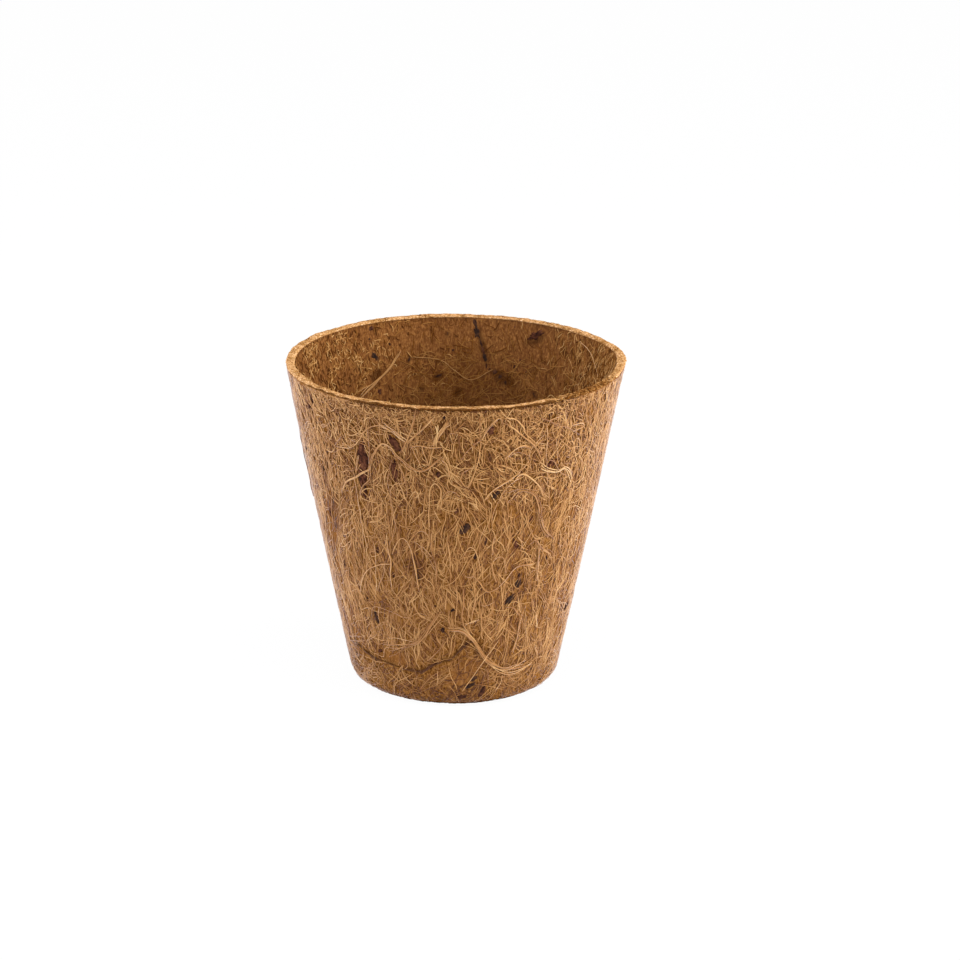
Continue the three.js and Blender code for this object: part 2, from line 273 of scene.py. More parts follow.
def soft_noise(points, size, seed):
    """Smooth noise from -1 to 1: random values on the corners of cubes of that size, blended in between.
    Three large primes turn a corner's numbers into its place in the table of values."""
    cell = points / size
    corner = np.floor(cell).astype(np.int64)
    share = ease(cell - corner)
    values = np.random.default_rng(seed).uniform(-1, 1, NOISE_VALUES)
    total = np.zeros(points.shape[:-1])
    for step in np.ndindex(2, 2, 2):
        weight = np.where(step, share, 1 - share).prod(axis=-1)
        key = (corner + step) @ CORNER_PRIMES
        total += weight * values[key % NOISE_VALUES]
    return total


print("coarse at the front and at the side:", coarse_zone(np.array([0, math.pi / 2])).tolist())

# %% [markdown]
# ## Meshes from arrays
# Blender takes a mesh fastest as flat arrays. foreach_set hands over all corners in one go, where a Python
# loop would crawl. Each mesh brings a UV map in which no two faces overlap, so that its colours can be baked
# later.

# %% Mesh builder
def build_piece(name, points, quads, triangles, uv, material, values=(), normals=None):
    """A smooth mesh object from arrays of points, four-sided and three-sided faces, UV corners and values.
    Given normals take the place of the mesh's own in the shading."""
    corners = np.concatenate([quads.ravel(), triangles.ravel()])
    starts = np.concatenate([np.arange(len(quads)) * 4, quads.size + np.arange(len(triangles)) * 3])
    mesh = bpy.data.meshes.new(name)
    mesh.vertices.add(len(points))
    mesh.vertices.foreach_set("co", points.astype(np.float32).ravel())
    mesh.loops.add(len(corners))
    mesh.loops.foreach_set("vertex_index", corners.astype(np.int32))
    mesh.polygons.add(len(starts))
    mesh.polygons.foreach_set("loop_start", starts.astype(np.int32))
    layer = mesh.uv_layers.new(name="OFBake")
    layer.data.foreach_set("uv", uv.astype(np.float32).ravel())
    for key, data in dict(values).items():
        mesh.attributes.new(key, "FLOAT", "POINT").data.foreach_set("value", data.astype(np.float32).ravel())
    mesh.update(calc_edges=True)
    mesh.shade_smooth()
    if normals is not None:
        mesh.normals_split_custom_set_from_vertices(normals)
    mesh.materials.append(material)
    piece = bpy.data.objects.new(name, mesh)
    bpy.context.scene.collection.objects.link(piece)
    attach(piece, "root")
    print(name, "has", 2 * len(quads) + len(triangles), "triangles")
    return piece


NO_TRIANGLES = np.zeros((0, 3), int)


def ring_piece(name, points, material, values=()):
    """A closed ring of felt from a grid of points, turns by rows, joined up both round the pot and along
    the outline. The UV map is the same grid laid flat."""
    turns, rows = points.shape[:2]
    index = np.arange(turns * rows).reshape(turns, rows)
    ahead = np.roll(index, -1, axis=0)
    quads = np.stack([index, ahead, np.roll(ahead, -1, axis=1), np.roll(index, -1, axis=1)], axis=-1)
    turn_share, row_share = np.meshgrid(np.arange(turns) / turns, np.arange(rows) / rows, indexing="ij")
    corner = np.stack([turn_share, row_share], axis=-1)
    right = np.array([1 / turns, 0])
    up = np.array([0, 1 / rows])
    uv = np.stack([corner, corner + right, corner + right + up, corner + up], axis=2)
    return build_piece(name, points.reshape(-1, 3), quads.reshape(-1, 4), NO_TRIANGLES, uv, material,
                       values)


# %% [markdown]
# ## Coir felt
# Under the loose fibres lies the felt: short fibre and brown pith, matted with latex and pressed. It is dull
# and mottled, paler where it was cut at the rim. A picture wrapped round it would show seams, so its colour
# comes from noise at real sizes: blotches, pith crumbs, short matted hairs and the specks of the cut edge.
# Four values stored on the mesh say where the felt is cut, bare pith or on the inside, and how far it is
# darkened, by real stains and by painted shade.

# %% Coir felt material
BLOTCH, CRUMB, HAIR, SPECK = 9 * MM, 0.9 * MM, 0.45 * MM, 0.5 * MM
FELT_RELIEF = 0.25 * MM


def coir_felt():
    """Latexed coir felt, pressed: rough, dull brown with finer hairs, and a pale orange cut edge. Its tone
    is half the sum of crumbs and hairs plus a sixth of the blotches, and each ramp turns a tone into a
    colour. Last, a dark brown is mixed in for stains and for painted shade."""
    material, tree, shader = start_material("coir_felt_pressed")
    place_of = add_node(tree, "ShaderNodeTexCoord")["Object"]
    cut, shade, pith, inside = (add_node(tree, "ShaderNodeAttribute", {"attribute_name": name})["Fac"]
                                for name in ("cut", "shade", "pith", "inside"))
    hair_place = add_node(tree, "ShaderNodeMapping", inputs={
        "Vector": place_of, "Scale": (1.0, 1.0, 0.2)})["Vector"]
    blotch, crumb, hair, speck = (add_node(tree, "ShaderNodeTexNoise", inputs=inputs)["Fac"] for inputs in (
        {"Vector": place_of, "Scale": 1 / BLOTCH, "Detail": 3.0, "Roughness": 0.6},
        {"Vector": place_of, "Scale": 1 / CRUMB, "Detail": 4.0, "Roughness": 0.65},
        {"Vector": hair_place, "Scale": 1 / HAIR, "Detail": 1.0, "Distortion": 1.2},
        {"Vector": place_of, "Scale": 1 / SPECK, "Detail": 2.0, "Roughness": 0.7}))
    grain = add_node(tree, "ShaderNodeMath", {"operation": "ADD"}, {0: crumb, 1: hair})["Value"]
    tone = add_node(tree, "ShaderNodeMath", {"operation": "MULTIPLY_ADD"}, {
        0: grain, 1: 0.5, 2: -0.06})["Value"]
    tone = add_node(tree, "ShaderNodeMath", {"operation": "MULTIPLY_ADD"}, {
        0: blotch, 1: 0.17, 2: tone})["Value"]
    colour, pith_colour, inner_colour, cut_colour = (
        add_node(tree, "ShaderNodeValToRGB", {"stops": stops}, {"Fac": share})["Color"] for share, stops in (
            (tone, [(0.36, "#361c07"), (0.48, "#674019"), (0.6, "#8d6234")]),
            (tone, [(0.3, "#4f3013"), (0.5, "#734922"), (0.75, "#93663a")]),
            (tone, [(0.25, "#3a1e0b"), (0.5, "#6a4120"), (0.75, "#9b6a39")]),
            (speck, [(0.32, "#5f3a17"), (0.43, "#9c6e3f"), (0.56, "#c59664"), (0.68, "#e4c096")])))
    # The last mix lays dark brown over real stains and over painted shade.
    for share, over in ((pith, pith_colour), (inside, inner_colour), (cut, cut_colour),
                        (shade, linear("#2c1606"))):
        colour = add_node(tree, "ShaderNodeMix", {"data_type": "RGBA"}, {0: share, 6: colour, 7: over})[2]
    bump = add_node(tree, "ShaderNodeBump", inputs={
        "Strength": 0.7, "Distance": FELT_RELIEF, "Height": grain})["Normal"]
    tree.links.new(colour, shader.inputs["Base Color"])
    tree.links.new(bump, shader.inputs["Normal"])
    shader.inputs["Roughness"].default_value = 0.9
    shader.inputs["Specular IOR Level"].default_value = 0.02
    return material


FELT = coir_felt()

# %% [markdown]
# ## The wall and the base
# The pot is made of two felts. The base is a dish with a drain hole, and its torn upper edge wanders round
# the pot, highest just right of the front. The wall's felt starts at that edge and runs up to the cut rim.
# Sculpting would drift off the measured size, so each felt is a grid, turns by rows of its outline, pushed
# in and out by noise. The outer face is sunk a little, because the loose fibres that follow fill it up to
# the measured surface.

# %% The base's torn edge
BOND = 0.3 * MM
LAP_BOTTOM = FLOOR_THICKNESS + INNER_HEEL_RADIUS + 0.6 * MM
LAP_LENGTH = 6 * MM
LAP_THICKNESS = (WALL_THICKNESS - BOND) / 2
LAP_EDGE = np.array([
    [-110, 1.3], [-65, 1.5], [-42, 1.1], [-20, 0.9], [-4, 1.65], [9, 2.75], [20, 1.65], [31, 1],
    [60, 1.2], [105, 1], [150, 1.4], [200, 1], [250, 1.3]])
TEAR_LEFT, TEAR_RIGHT = -72, 18
TEAR_LEFT_EASE, TEAR_RIGHT_EASE = 12, 8


def lap_top(turn):
    """Height of the base's torn edge at a turn: eased from each stop of the list, a bearing and a height in
    lap lengths, to the next."""
    bearing = np.mod(np.degrees(turn) - LAP_EDGE[0, 0], 360) + LAP_EDGE[0, 0]
    after = np.clip(np.searchsorted(LAP_EDGE[:, 0], bearing, side="right"), 1, len(LAP_EDGE) - 1)
    start, end = LAP_EDGE[after - 1], LAP_EDGE[after]
    share = ease((bearing - start[..., 0]) / (end[..., 0] - start[..., 0]))
    return LAP_BOTTOM + LAP_LENGTH * (start[..., 1] + (end[..., 1] - start[..., 1]) * share)


def shown_lap(turn):
    """How open the torn edge is at a turn: it gapes in front, with breaks, and is closed round the back."""
    bearing = np.degrees(turn)
    front = ease((bearing - TEAR_LEFT) / TEAR_LEFT_EASE) * ease((TEAR_RIGHT - bearing) / TEAR_RIGHT_EASE)
    return front * (0.55 + 0.45 * np.sin(bearing * 0.31 + 1.2) * np.sin(bearing * 0.17))


print("torn edge at the front in mm:", round(float(lap_top(np.array(0.0))) / MM, 1))


# %% Ovals on a skin
def oval_depth(skin, turns, run, ovals):
    """How deep places on a skin lie in the nearest of the ovals: 1 in its middle, 0 at its edge and beyond.
    That is 1 less the squares of the two distances from the middle, in half widths and half lengths. An oval
    is a bearing, a rise in per cent of the height, a lean, a width and a length in mm."""
    depth = np.zeros(np.broadcast_shapes(turns.shape, run.shape))
    radius = np.interp(run, skin["run"], skin["radius"]) * (1 if skin is OUTER else -1)
    for bearing, rise, lean, width, length in ovals:
        tip = math.radians(lean)
        sideways = (np.mod(turns - math.radians(bearing) + math.pi, 2 * math.pi) - math.pi) * radius
        upward = run - run_at(skin, rise / 100 * POT_HEIGHT)
        across = sideways * math.cos(tip) - upward * math.sin(tip)
        along = sideways * math.sin(tip) + upward * math.cos(tip)
        depth = np.maximum(depth, 1 - (across / (width * MM / 2)) ** 2 - (along / (length * MM / 2)) ** 2)
    return depth


PITH_PATCHES = [(5.5, 12.5, 50, 7, 16), (-30, 15, 80, 5, 10), (-62, 50, 5, 6, 40), (64, 42, 0, 5, 26)]
OUTER_STAINS_AND_SHADE = [
    (-58.8, 71, 5, 3, 9), (-57, 59, 10, 8, 18), (-16, 48, 0, 9, 9), (-17.1, 83.1, 60, 3, 5),
    (8, 5.5, 80, 8, 14), (30, 40, 10, 5, 10), (-61.5, 95.5, -5, 3, 8), (-57.4, 95.5, 0, 2, 6),
    # the last two, low on the heel, are painted shade, not stains
    (-9, 4.5, 85, 7, 16), (-25, 4.5, 80, 6, 12)]
INNER_STAINS = [
    (160.5, 81.4, -60, 5, 10), (148, 94.6, 62, 4, 10), (169.5, 91, -18, 2.6, 16), (-161.5, 87, 20, 2, 3.4),
    (-173.3, 81.3, 75, 2.4, 4.4), (-166, 77.7, 0, 2.4, 3), (178.9, 76.4, 60, 2.4, 4),
    (145.7, 77.6, -40, 2.4, 4), (-147, 83.5, 60, 4, 6), (-177, 94.2, 0, 1.6, 2.4)]
print("stains outside and inside:", len(OUTER_STAINS_AND_SHADE), len(INNER_STAINS))

# %% Faces of a felt
LAP_GAP = 0.4 * MM
WALL_TURNS = 600
MAT_DEPTH, UPPER_EXTRA = 0.32 * MM, 0.18 * MM
UPPER_FROM, UPPER_EASE = 60 * MM, 14 * MM
THIN_LIP, THIN_LIP_EASE, THIN_LIP_SHARE = 2.5 * MM, 2 * MM, 0.8
RIM_WAVES = [(0.2 * MM, 9 * MM, 21), (0.08 * MM, 1.7 * MM, 22)]
FELT_LUMP, FELT_GRAIN = 2.2 * MM, 0.9 * MM
turn = np.linspace(-math.pi, math.pi, WALL_TURNS, endpoint=False)[:, None]


def mat_depth(turns, run):
    """Depth of the loose fibre mat on the outer skin: shallow below, half as deep again in the top third, and
    running out to nothing much at the lip, but for the front."""
    height = np.interp(run, OUTER["run"], OUTER["height"])
    depth = MAT_DEPTH + UPPER_EXTRA * ease((height - UPPER_FROM) / UPPER_EASE)
    near_lip = ease((run - TOP_RUN + THIN_LIP) / THIN_LIP_EASE)
    return depth * (1 - THIN_LIP_SHARE * (1 - lip_front(turns)) * near_lip)


def rim_wander(turns):
    """How far the cut rim strays up or down at a turn: slow and quick noise on a circle, each wave with a
    height, a size and a seed."""
    circle = RIM_RADIUS * np.stack([np.sin(turns), np.cos(turns), np.zeros_like(turns)], axis=-1)
    return sum(height * soft_noise(circle, size, seed) for height, size, seed in RIM_WAVES)


def felt_faces(faces, seed):
    """Points of a felt from its faces, each with a skin, runs, sink, roughness and four values to store: how
    far it is cut, inside, darkened by stains and painted shade, and bare pith. Noise moves each face along
    its own outward direction."""
    points, values = [], {"cut": [], "inside": [], "shade": [], "pith": []}
    for skin, run, sink, rough, *marks in faces:
        turns, run = np.broadcast_arrays(turn, run)
        flat = place(skin, turns, run, sink)
        noise = soft_noise(flat, FELT_LUMP, seed) + 0.6 * soft_noise(flat, FELT_GRAIN, seed + 1)
        points.append(place(skin, turns, run, sink + rough * noise))
        for key, mark in zip(values, marks):
            values[key].append(np.broadcast_to(mark, run.shape))
    values = {key: np.concatenate(data, axis=1) for key, data in values.items()}
    return np.concatenate(points, axis=1), values


print("turns round a felt:", WALL_TURNS)

# %% The wall's felt
FACE_ROUGH, RIM_ROUGH = 0.1 * MM, 0.16 * MM
OUTER_ROWS, RIM_ROWS, INNER_ROWS, BEHIND_ROWS = 56, 20, 76, 8
ROW_CROWDING = 1.4
LIP_PAINTED_SHADE, LAP_PAINTED_SHADE, STAIN_SOOT = 0.6, 0.68, 0.55


def wall_felt():
    """The wall's outline at each turn: up the outer face from the torn edge, over the rim, down the inner
    face, and back up behind the base's upstand. Rows crowd towards the rim, where the eye goes first."""
    shoulder = run_at(OUTER, lap_top(turn) + LAP_GAP)
    climb = np.linspace(0, 1, OUTER_ROWS)[None]
    outer_run = shoulder + (TOP_RUN - shoulder) * (1 - (1 - climb) ** ROW_CROWDING)
    rim_run = np.linspace(0, RIM_END, RIM_ROWS)[None, 1:-1]
    toe = run_at(INNER, LAP_BOTTOM + BOND)
    inner_run = np.linspace(INNER_TOP, toe, INNER_ROWS)[None]
    behind_top = run_at(INNER, (lap_top(turn) + LAP_GAP) * 0.98)
    behind_run = np.linspace(toe, behind_top, BEHIND_ROWS, axis=-1)[:, 0]
    # The uncut rim gets dark: painted shade below the lip in front, and the darker torn felt where frayed.
    in_front = ease((np.cos(turn) - 0.2) / 0.5)
    frayed = in_front * (0.24 + 0.1 * np.sin(37 * turn) * np.sin(23 * turn)) - 0.1 + 0.25 * frayed_lip(turn)
    cut = ease((rim_run / RIM_END - frayed) / 0.12) * (1 - 0.35 * frayed_lip(turn))
    near_lap = shown_lap(turn) * (1 - ease((outer_run - shoulder) / (1.2 * MM)))
    # Painted shade under the lip at the front and along the torn edge where it gapes.
    dark = np.maximum(LIP_PAINTED_SHADE * under_lip(turn, outer_run), LAP_PAINTED_SHADE * near_lap)
    pith = np.maximum(ease(2 * oval_depth(OUTER, turn, outer_run, PITH_PATCHES)),
                      0.8 - 0.8 * coarse_zone(turn))
    stain = STAIN_SOOT * ease(1.5 * oval_depth(INNER, turn, inner_run, INNER_STAINS))
    faces = [(OUTER, outer_run, -mat_depth(turn, outer_run), FACE_ROUGH, 0.0, 0.0, dark, pith),
             (RIM, rim_run, rim_wander(turn), RIM_ROUGH, cut, 0.0, 0.6 * (1 - cut), 0.0),
             (INNER, inner_run, np.full((1, 1), -0.12 * MM), FACE_ROUGH, 0.0, 1.0, stain, 0.0),
             (INNER, behind_run, np.full((1, 1), -LAP_THICKNESS), 0.0, 0.0, 0.0, 0.0, 0.0)]
    return felt_faces(faces, 11)


wall_points, wall_values = wall_felt()
wall_piece = ring_piece("side_wall_felt", wall_points, FELT, wall_values)
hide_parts("side_wall")

# %% The base's felt
FOOT_ROWS, EDGE_ROWS, FLOOR_ROWS = 48, 7, 32


def base_felt():
    """The base's outline at each turn: out over the foot, round the heel, up to the torn edge, down the step
    behind it, over the floor and down through the drain hole."""
    outer_share = np.linspace(0, 1, FOOT_ROWS)[None]
    outer_run = outer_share * run_at(OUTER, lap_top(turn))
    edge_height = np.linspace(lap_top(turn), np.full_like(turn, LAP_BOTTOM), EDGE_ROWS, axis=-1)[:, 0]
    edge_run = run_at(OUTER, edge_height)
    floor_run = np.linspace(run_at(INNER, LAP_BOTTOM), 0, FLOOR_ROWS)[None]
    # Painted shade along the gaping torn edge, in the step behind it, and on the heel just above the ground.
    near_lap = shown_lap(turn) * ease((outer_run - run_at(OUTER, lap_top(turn)) + 0.8 * MM) / (0.8 * MM))
    dark = np.maximum(0.5 * near_lap, 0.75 * heel_shade(outer_run))
    pith = ease(2 * oval_depth(OUTER, turn, outer_run, PITH_PATCHES))
    faces = [(OUTER, outer_run, -mat_depth(turn, outer_run), FACE_ROUGH, 0.0, 0.0, dark, pith),
             (OUTER, edge_run, np.full((1, 1), -LAP_THICKNESS), 0.0, 0.0, 0.0, 0.6, 0.0),
             (INNER, floor_run, np.full((1, 1), -0.1 * MM), FACE_ROUGH, 0.0, 1.0, 0.0, 0.0)]
    return felt_faces(faces, 13)


base_points, base_values = base_felt()
base_piece = ring_piece("base_dish_felt", base_points, FELT, base_values)
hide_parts("base_dish")

# %% [markdown]
# ## Coir fibre
# A coir fibre is a stiff golden-brown hair, a quarter to half a millimetre thick, with a faint shine. Older
# ones are redder and darker. Each fibre carries a tone from 0, dark and buried, to 1, pale and loose, and
# one colour ramp turns the tone into a colour. Blender's own hair curves can't be exported as they are, so
# the fibres are thin meshes. They come in two finishes: loose on the outer face, with sheen for the pale
# bloom that a hairy surface shows at its edges, and pressed inside, under the foot and on the rim, with
# none.

# %% Coir fibre material
FLECK = 1.6 * MM


def coir_fibre(name, fuzz):
    """Coir fibre, retted and dried: half rough, with a tone per fibre and slow flecks along it. The fuzz is
    the share of fine hairs, which catch light from the side. A place on the ramp is 0.8 of the sum of tone
    and a quarter of the flecks, less what the flecks add on average."""
    material, tree, shader = start_material(name)
    place_of = add_node(tree, "ShaderNodeTexCoord")["Object"]
    tone = add_node(tree, "ShaderNodeAttribute", {"attribute_name": "tone"})["Fac"]
    fleck = add_node(tree, "ShaderNodeTexNoise", inputs={
        "Vector": place_of, "Scale": 1 / FLECK, "Detail": 2.0})["Fac"]
    mixed = add_node(tree, "ShaderNodeMath", {"operation": "MULTIPLY_ADD"}, {
        0: fleck, 1: 0.24, 2: tone})["Value"]
    share = add_node(tree, "ShaderNodeMath", {"operation": "MULTIPLY_ADD"}, {
        0: mixed, 1: 0.8, 2: -0.096})["Value"]
    colour = add_node(tree, "ShaderNodeValToRGB", {"stops": [
        (0.0, "#482507"), (0.2, "#714213"), (0.4, "#936534"), (0.6, "#ac7e49"), (0.8, "#c29b67"),
        (1.0, "#e2bc8c")]}, {"Fac": share})["Color"]
    tree.links.new(colour, shader.inputs["Base Color"])
    shader.inputs["Roughness"].default_value = 0.65
    shader.inputs["Specular IOR Level"].default_value = 0.03
    shader.inputs["Sheen Weight"].default_value = fuzz
    shader.inputs["Sheen Roughness"].default_value = 0.4
    shader.inputs["Sheen Tint"].default_value = linear("#f6f4ff")
    return material


FUZZY_FIBRE = coir_fibre("coir_fibre_loose", 1.0)
PRESSED_FIBRE = coir_fibre("coir_fibre_pressed", 0.0)
print("fibre finishes:", FUZZY_FIBRE.name, PRESSED_FIBRE.name)


# %% Fibres as pointed tubes
def unit(directions):
    """The same directions, one unit long."""
    return directions / np.linalg.norm(directions, axis=-1, keepdims=True)


def ring_angles(sides):
    """Angles of the points of a tube's ring, with the first one straight out of the felt."""
    return np.arange(sides) * 2 * math.pi / sides + math.pi / 2


def band_faces(rows, around):
    """Numbers of the points of a tube, as rows of rings, the numbers one place on round each ring, and the
    four-sided faces between each ring and the next."""
    index = np.arange(rows * around).reshape(rows, around)
    beside = np.roll(index, -1, axis=1)
    quads = np.stack([index[:-1], index[1:], beside[1:], beside[:-1]], axis=-1).reshape(-1, 4)
    return index, beside, quads


def tube_arrays(centres, out, radii, sides, flat):
    """Points and faces of many closed tubes, one per row of centres, pointed at both ends. A ring stands
    round each centre, in the plane of the way out of the felt and the way square to it and to the fibre.
    Pressed fibres are flat: the ring's height is its width times the given share."""
    fibres, rings = centres.shape[:2]
    along = unit(np.gradient(centres, axis=1))
    across = unit(np.cross(along, out))
    up = np.cross(across, along)
    angle = ring_angles(sides)
    wheel = np.cos(angle)[:, None] * across[:, :, None] + flat * np.sin(angle)[:, None] * up[:, :, None]
    ring = centres[:, :, None] + radii[:, :, None, None] * wheel
    ends = centres[:, [0, -1]] + np.array([-1.5, 1.5])[:, None] * radii[:, [0, -1], None] * along[:, [0, -1]]
    points = np.concatenate([ring.reshape(fibres, -1, 3), ends], axis=1)
    index, beside, quads = band_faces(rings, sides)
    first, last = rings * sides, rings * sides + 1
    starts = np.stack([np.full(sides, first), index[0], beside[0]], axis=-1)
    finishes = np.stack([np.full(sides, last), beside[-1], index[-1]], axis=-1)
    triangles = np.concatenate([starts, finishes])
    offset = (np.arange(fibres) * points.shape[1])[:, None, None]
    return points.reshape(-1, 3), (quads + offset).reshape(-1, 4), (triangles + offset).reshape(-1, 3)


# %% UV maps of the tubes
CELL_MARGIN = 0.04


def face_corners(*corners):
    """UV corners of faces, from the u and the v of each corner in turn."""
    return np.stack([np.stack(corner, axis=-1) for corner in corners], axis=-2)


def tube_uv(fibres, rings, sides):
    """UV corners of those tubes: each fibre unrolled in its own cell of a grid, its length along u."""
    columns = max(1, round(math.sqrt(fibres / 4)))
    rows = math.ceil(fibres / columns)
    length = (np.arange(rings) + 1) / (rings + 1)
    step, side = np.meshgrid(np.arange(rings - 1), np.arange(sides), indexing="ij")
    near, far = length[step], length[step + 1]
    low, high = side / sides, (side + 1) / sides
    quads = face_corners((near, low), (far, low), (far, high), (near, high)).reshape(-1, 2)
    low, high = np.arange(sides) / sides, (np.arange(sides) + 1) / sides
    middle = (low + high) / 2
    first, last = np.full(sides, length[0]), np.full(sides, length[-1])
    starts = face_corners((np.zeros(sides), middle), (first, low), (first, high))
    finishes = face_corners((np.ones(sides), middle), (last, high), (last, low))
    triangles = np.concatenate([starts, finishes]).reshape(-1, 2)
    corner = np.stack(np.divmod(np.arange(fibres), rows), axis=-1)[:, None]
    cell = np.array([1 / columns, 1 / rows])
    inner = 1 - 2 * CELL_MARGIN
    return np.concatenate([((corner + CELL_MARGIN + inner * part[None]) * cell).reshape(-1, 2)
                           for part in (quads, triangles)])


# %% Pieces made of fibres
def fibre_piece(name, centres, out, radii, tone, sides=3, flat=0.55, slot="coir_felt", glued=0.62, edge=0.25,
                material=FUZZY_FIBRE):
    """One piece made of many fibres, with each fibre's tone stored on its points. The edge's share of painted
    shade darkens each fibre towards its underside, where it lies on the mat. Latex glues the fibres into one
    surface, so their shading normals lean from the tube's own to the felt's by the glued share."""
    points, quads, triangles = tube_arrays(centres, out, radii, sides, flat)
    rings = centres.shape[1]
    uv = tube_uv(centres.shape[0], rings, sides)
    tones, middles, felt_out = (np.concatenate([np.repeat(part, sides, axis=1), part[:, [0, -1]]], axis=1)
                                for part in (tone, centres, out))
    # Painted shade: each fibre darker towards its underside, by the edge's share.
    underside_shade = 1 - np.sin(ring_angles(sides))
    edges = np.repeat(np.broadcast_to(edge, tone.shape), sides, axis=1)
    tones[:, :rings * sides] -= edges * np.tile(underside_shade, rings)
    round_out = unit(points - middles.reshape(-1, 3))
    normals = unit(glued * felt_out.reshape(-1, 3) + (1 - glued) * round_out)
    return build_piece(name, points, quads, triangles, uv, material, {"tone": tones}, normals)


# %% [markdown]
# ## Laying fibres
# Each fibre is walked over a skin in small equal steps. Its heading starts at a chosen lean from straight
# up, bends steadily, and wavers. Bends of several radians make the loops and arches that coir is full of. A
# fibre that meets the rim is cut there, as the real ones are, and both of its ends dip into the felt.
# Scattered particles would stand on the felt like grass; a walk keeps every fibre lying on it.

# %% Walking fibres over a skin
FINE_STEPS = 48


def walk(rng, skin, start_turn, start_run, heading, length, bend, waver):
    """Turns and runs along many fibres: the running sums of small steps whose heading is the first heading,
    plus the bend times the share walked, plus a sine waver."""
    share = np.linspace(0, 1, FINE_STEPS)
    waves = rng.uniform(0.7, 2.2, heading.size)[:, None]
    phase = rng.uniform(0, 1, heading.size)[:, None]
    swing = waver[:, None] * np.sin(2 * math.pi * (waves * share + phase))
    angle = heading[:, None] + bend[:, None] * share + swing
    step = length[:, None] / (FINE_STEPS - 1)
    run = start_run[:, None] + np.cumsum(step * np.cos(angle), axis=1)
    radius = np.interp(run, skin["run"], skin["radius"])
    turns = start_turn[:, None] + np.cumsum(step * np.sin(angle) / radius, axis=1)
    return turns, run


def cut_to(turns, run, low, high, rings):
    """The same fibres with as many rings as asked, each cut where it first leaves the given run, and a flag
    for those that keep a quarter of their length."""
    inside = (run >= low) & (run <= high)
    last = np.where(inside.all(axis=1), FINE_STEPS - 1, np.argmin(inside, axis=1) - 1)
    at = np.maximum(last, 1)[:, None] * np.linspace(0, 1, rings)
    below = np.clip(at.astype(int), 0, FINE_STEPS - 2)
    part = at - below
    turns, run = (np.take_along_axis(values, below, 1) * (1 - part)
                  + np.take_along_axis(values, below + 1, 1) * part for values in (turns, run))
    return turns, run, last > FINE_STEPS // 4


# %% Where fibres start
EVEN_STEPS = np.array([0.7548776662, 0.5698402910])
MOST_LEAN = 1.2
COMB_SIZE, STRAY, UPPER_STRAY = 13 * MM, 0.38, 0.27
SWEEP_BEARING, SWEEP_SPREAD, SWEEP_LEAN = -46, 22, 0.7
SWEEP_DEPTH, SWEEP_EASE = 22 * MM, 12 * MM
BUNDLE_RUN, BUNDLE_WIDTH, BUNDLE_LEAN, BUNDLE_BEND = 1.5 * MM, 0.8 * MM, 0.09, 0.15


def comb(turns, run):
    """Lean of the nap at a place, in radians to the right of straight up: slow noise round the pot, stronger
    near the top, and a firm lean to the left under the rim on the left of the front."""
    spot = np.stack([np.sin(turns) * RIM_RADIUS, np.cos(turns) * RIM_RADIUS, run], axis=-1)
    swept = np.exp(-((np.degrees(turns) - SWEEP_BEARING) / SWEEP_SPREAD) ** 2)
    swept = swept * ease((run - TOP_RUN + SWEEP_DEPTH) / SWEEP_EASE)
    stray = STRAY + UPPER_STRAY * ease((run - run_at(OUTER, UPPER_FROM)) / UPPER_EASE)
    return (1 - swept) * stray * soft_noise(spot, COMB_SIZE, 51) - SWEEP_LEAN * swept


def start_fibres(rng, skin, count, reach, lean, bend, bundle, sector):
    """Turns, runs, headings and bends of a layer's fibres at their start, and a flag for those on the base.
    Starts are evenly spread: each is a fixed step on from the last in run and turn, wrapped round, and the
    two steps never fall in line. Narrow places drop some. The fibres of a bundle start near each other,
    nearly parallel."""
    spread = np.mod(np.arange(count // bundle)[:, None] * EVEN_STEPS + rng.uniform(0, 1, 2), 1)
    run = reach[0] + (reach[1] - reach[0]) * spread[:, 0]
    wide = np.interp(run, skin["run"], skin["radius"])
    fits = rng.uniform(0, wide.max(), run.size) < wide
    run, turns = run[fits], (2 * spread[fits, 1] - 1) * math.pi
    heading = np.clip(rng.normal(0, lean, run.size), -MOST_LEAN, MOST_LEAN)
    heading = heading + math.pi * rng.integers(0, 2, run.size)
    if sector:
        turns = rng.normal(*np.radians(sector), run.size)
    on_base = np.interp(run, skin["run"], skin["height"]) < lap_top(turns)
    heading = heading + comb(turns, run) + on_base * rng.normal(0, 1, run.size)
    bends = rng.normal(0, bend, run.size)
    turns, run, heading, bends, on_base = (
        np.repeat(part, bundle) for part in (turns, run, heading, bends, on_base))
    if bundle > 1:
        run = np.clip(run + rng.normal(0, BUNDLE_RUN, run.size), *reach)
        turns = turns + rng.normal(0, BUNDLE_WIDTH / RIM_RADIUS, run.size)
        heading = heading + rng.normal(0, BUNDLE_LEAN, run.size)
        bends = bends + rng.normal(0, BUNDLE_BEND, run.size)
    return turns, run, heading, bends, on_base


# %% Layers of fibres
PRESSED_DEPTH = 0.15 * MM
END_DIP = 1.1
RIPPLE, RIPPLE_TURN = 0.12, 9
BASE_THINNER = 0.22
TONE_DRIFT, DRIFT_SIZE = 0.035, 12 * MM
# How much darker a fibre is: at its ends, on the base, in a stain (and in two ovals of painted shade on the
# heel), with painted shade under the lip and at the heel, and where frayed
END_DARK, BASE_DARK, STAIN_DARK, LIP_DARK, HEEL_DARK, FRAY_DARK = 0.15, 0.06, 0.24, 0.22, 0.42, 0.1


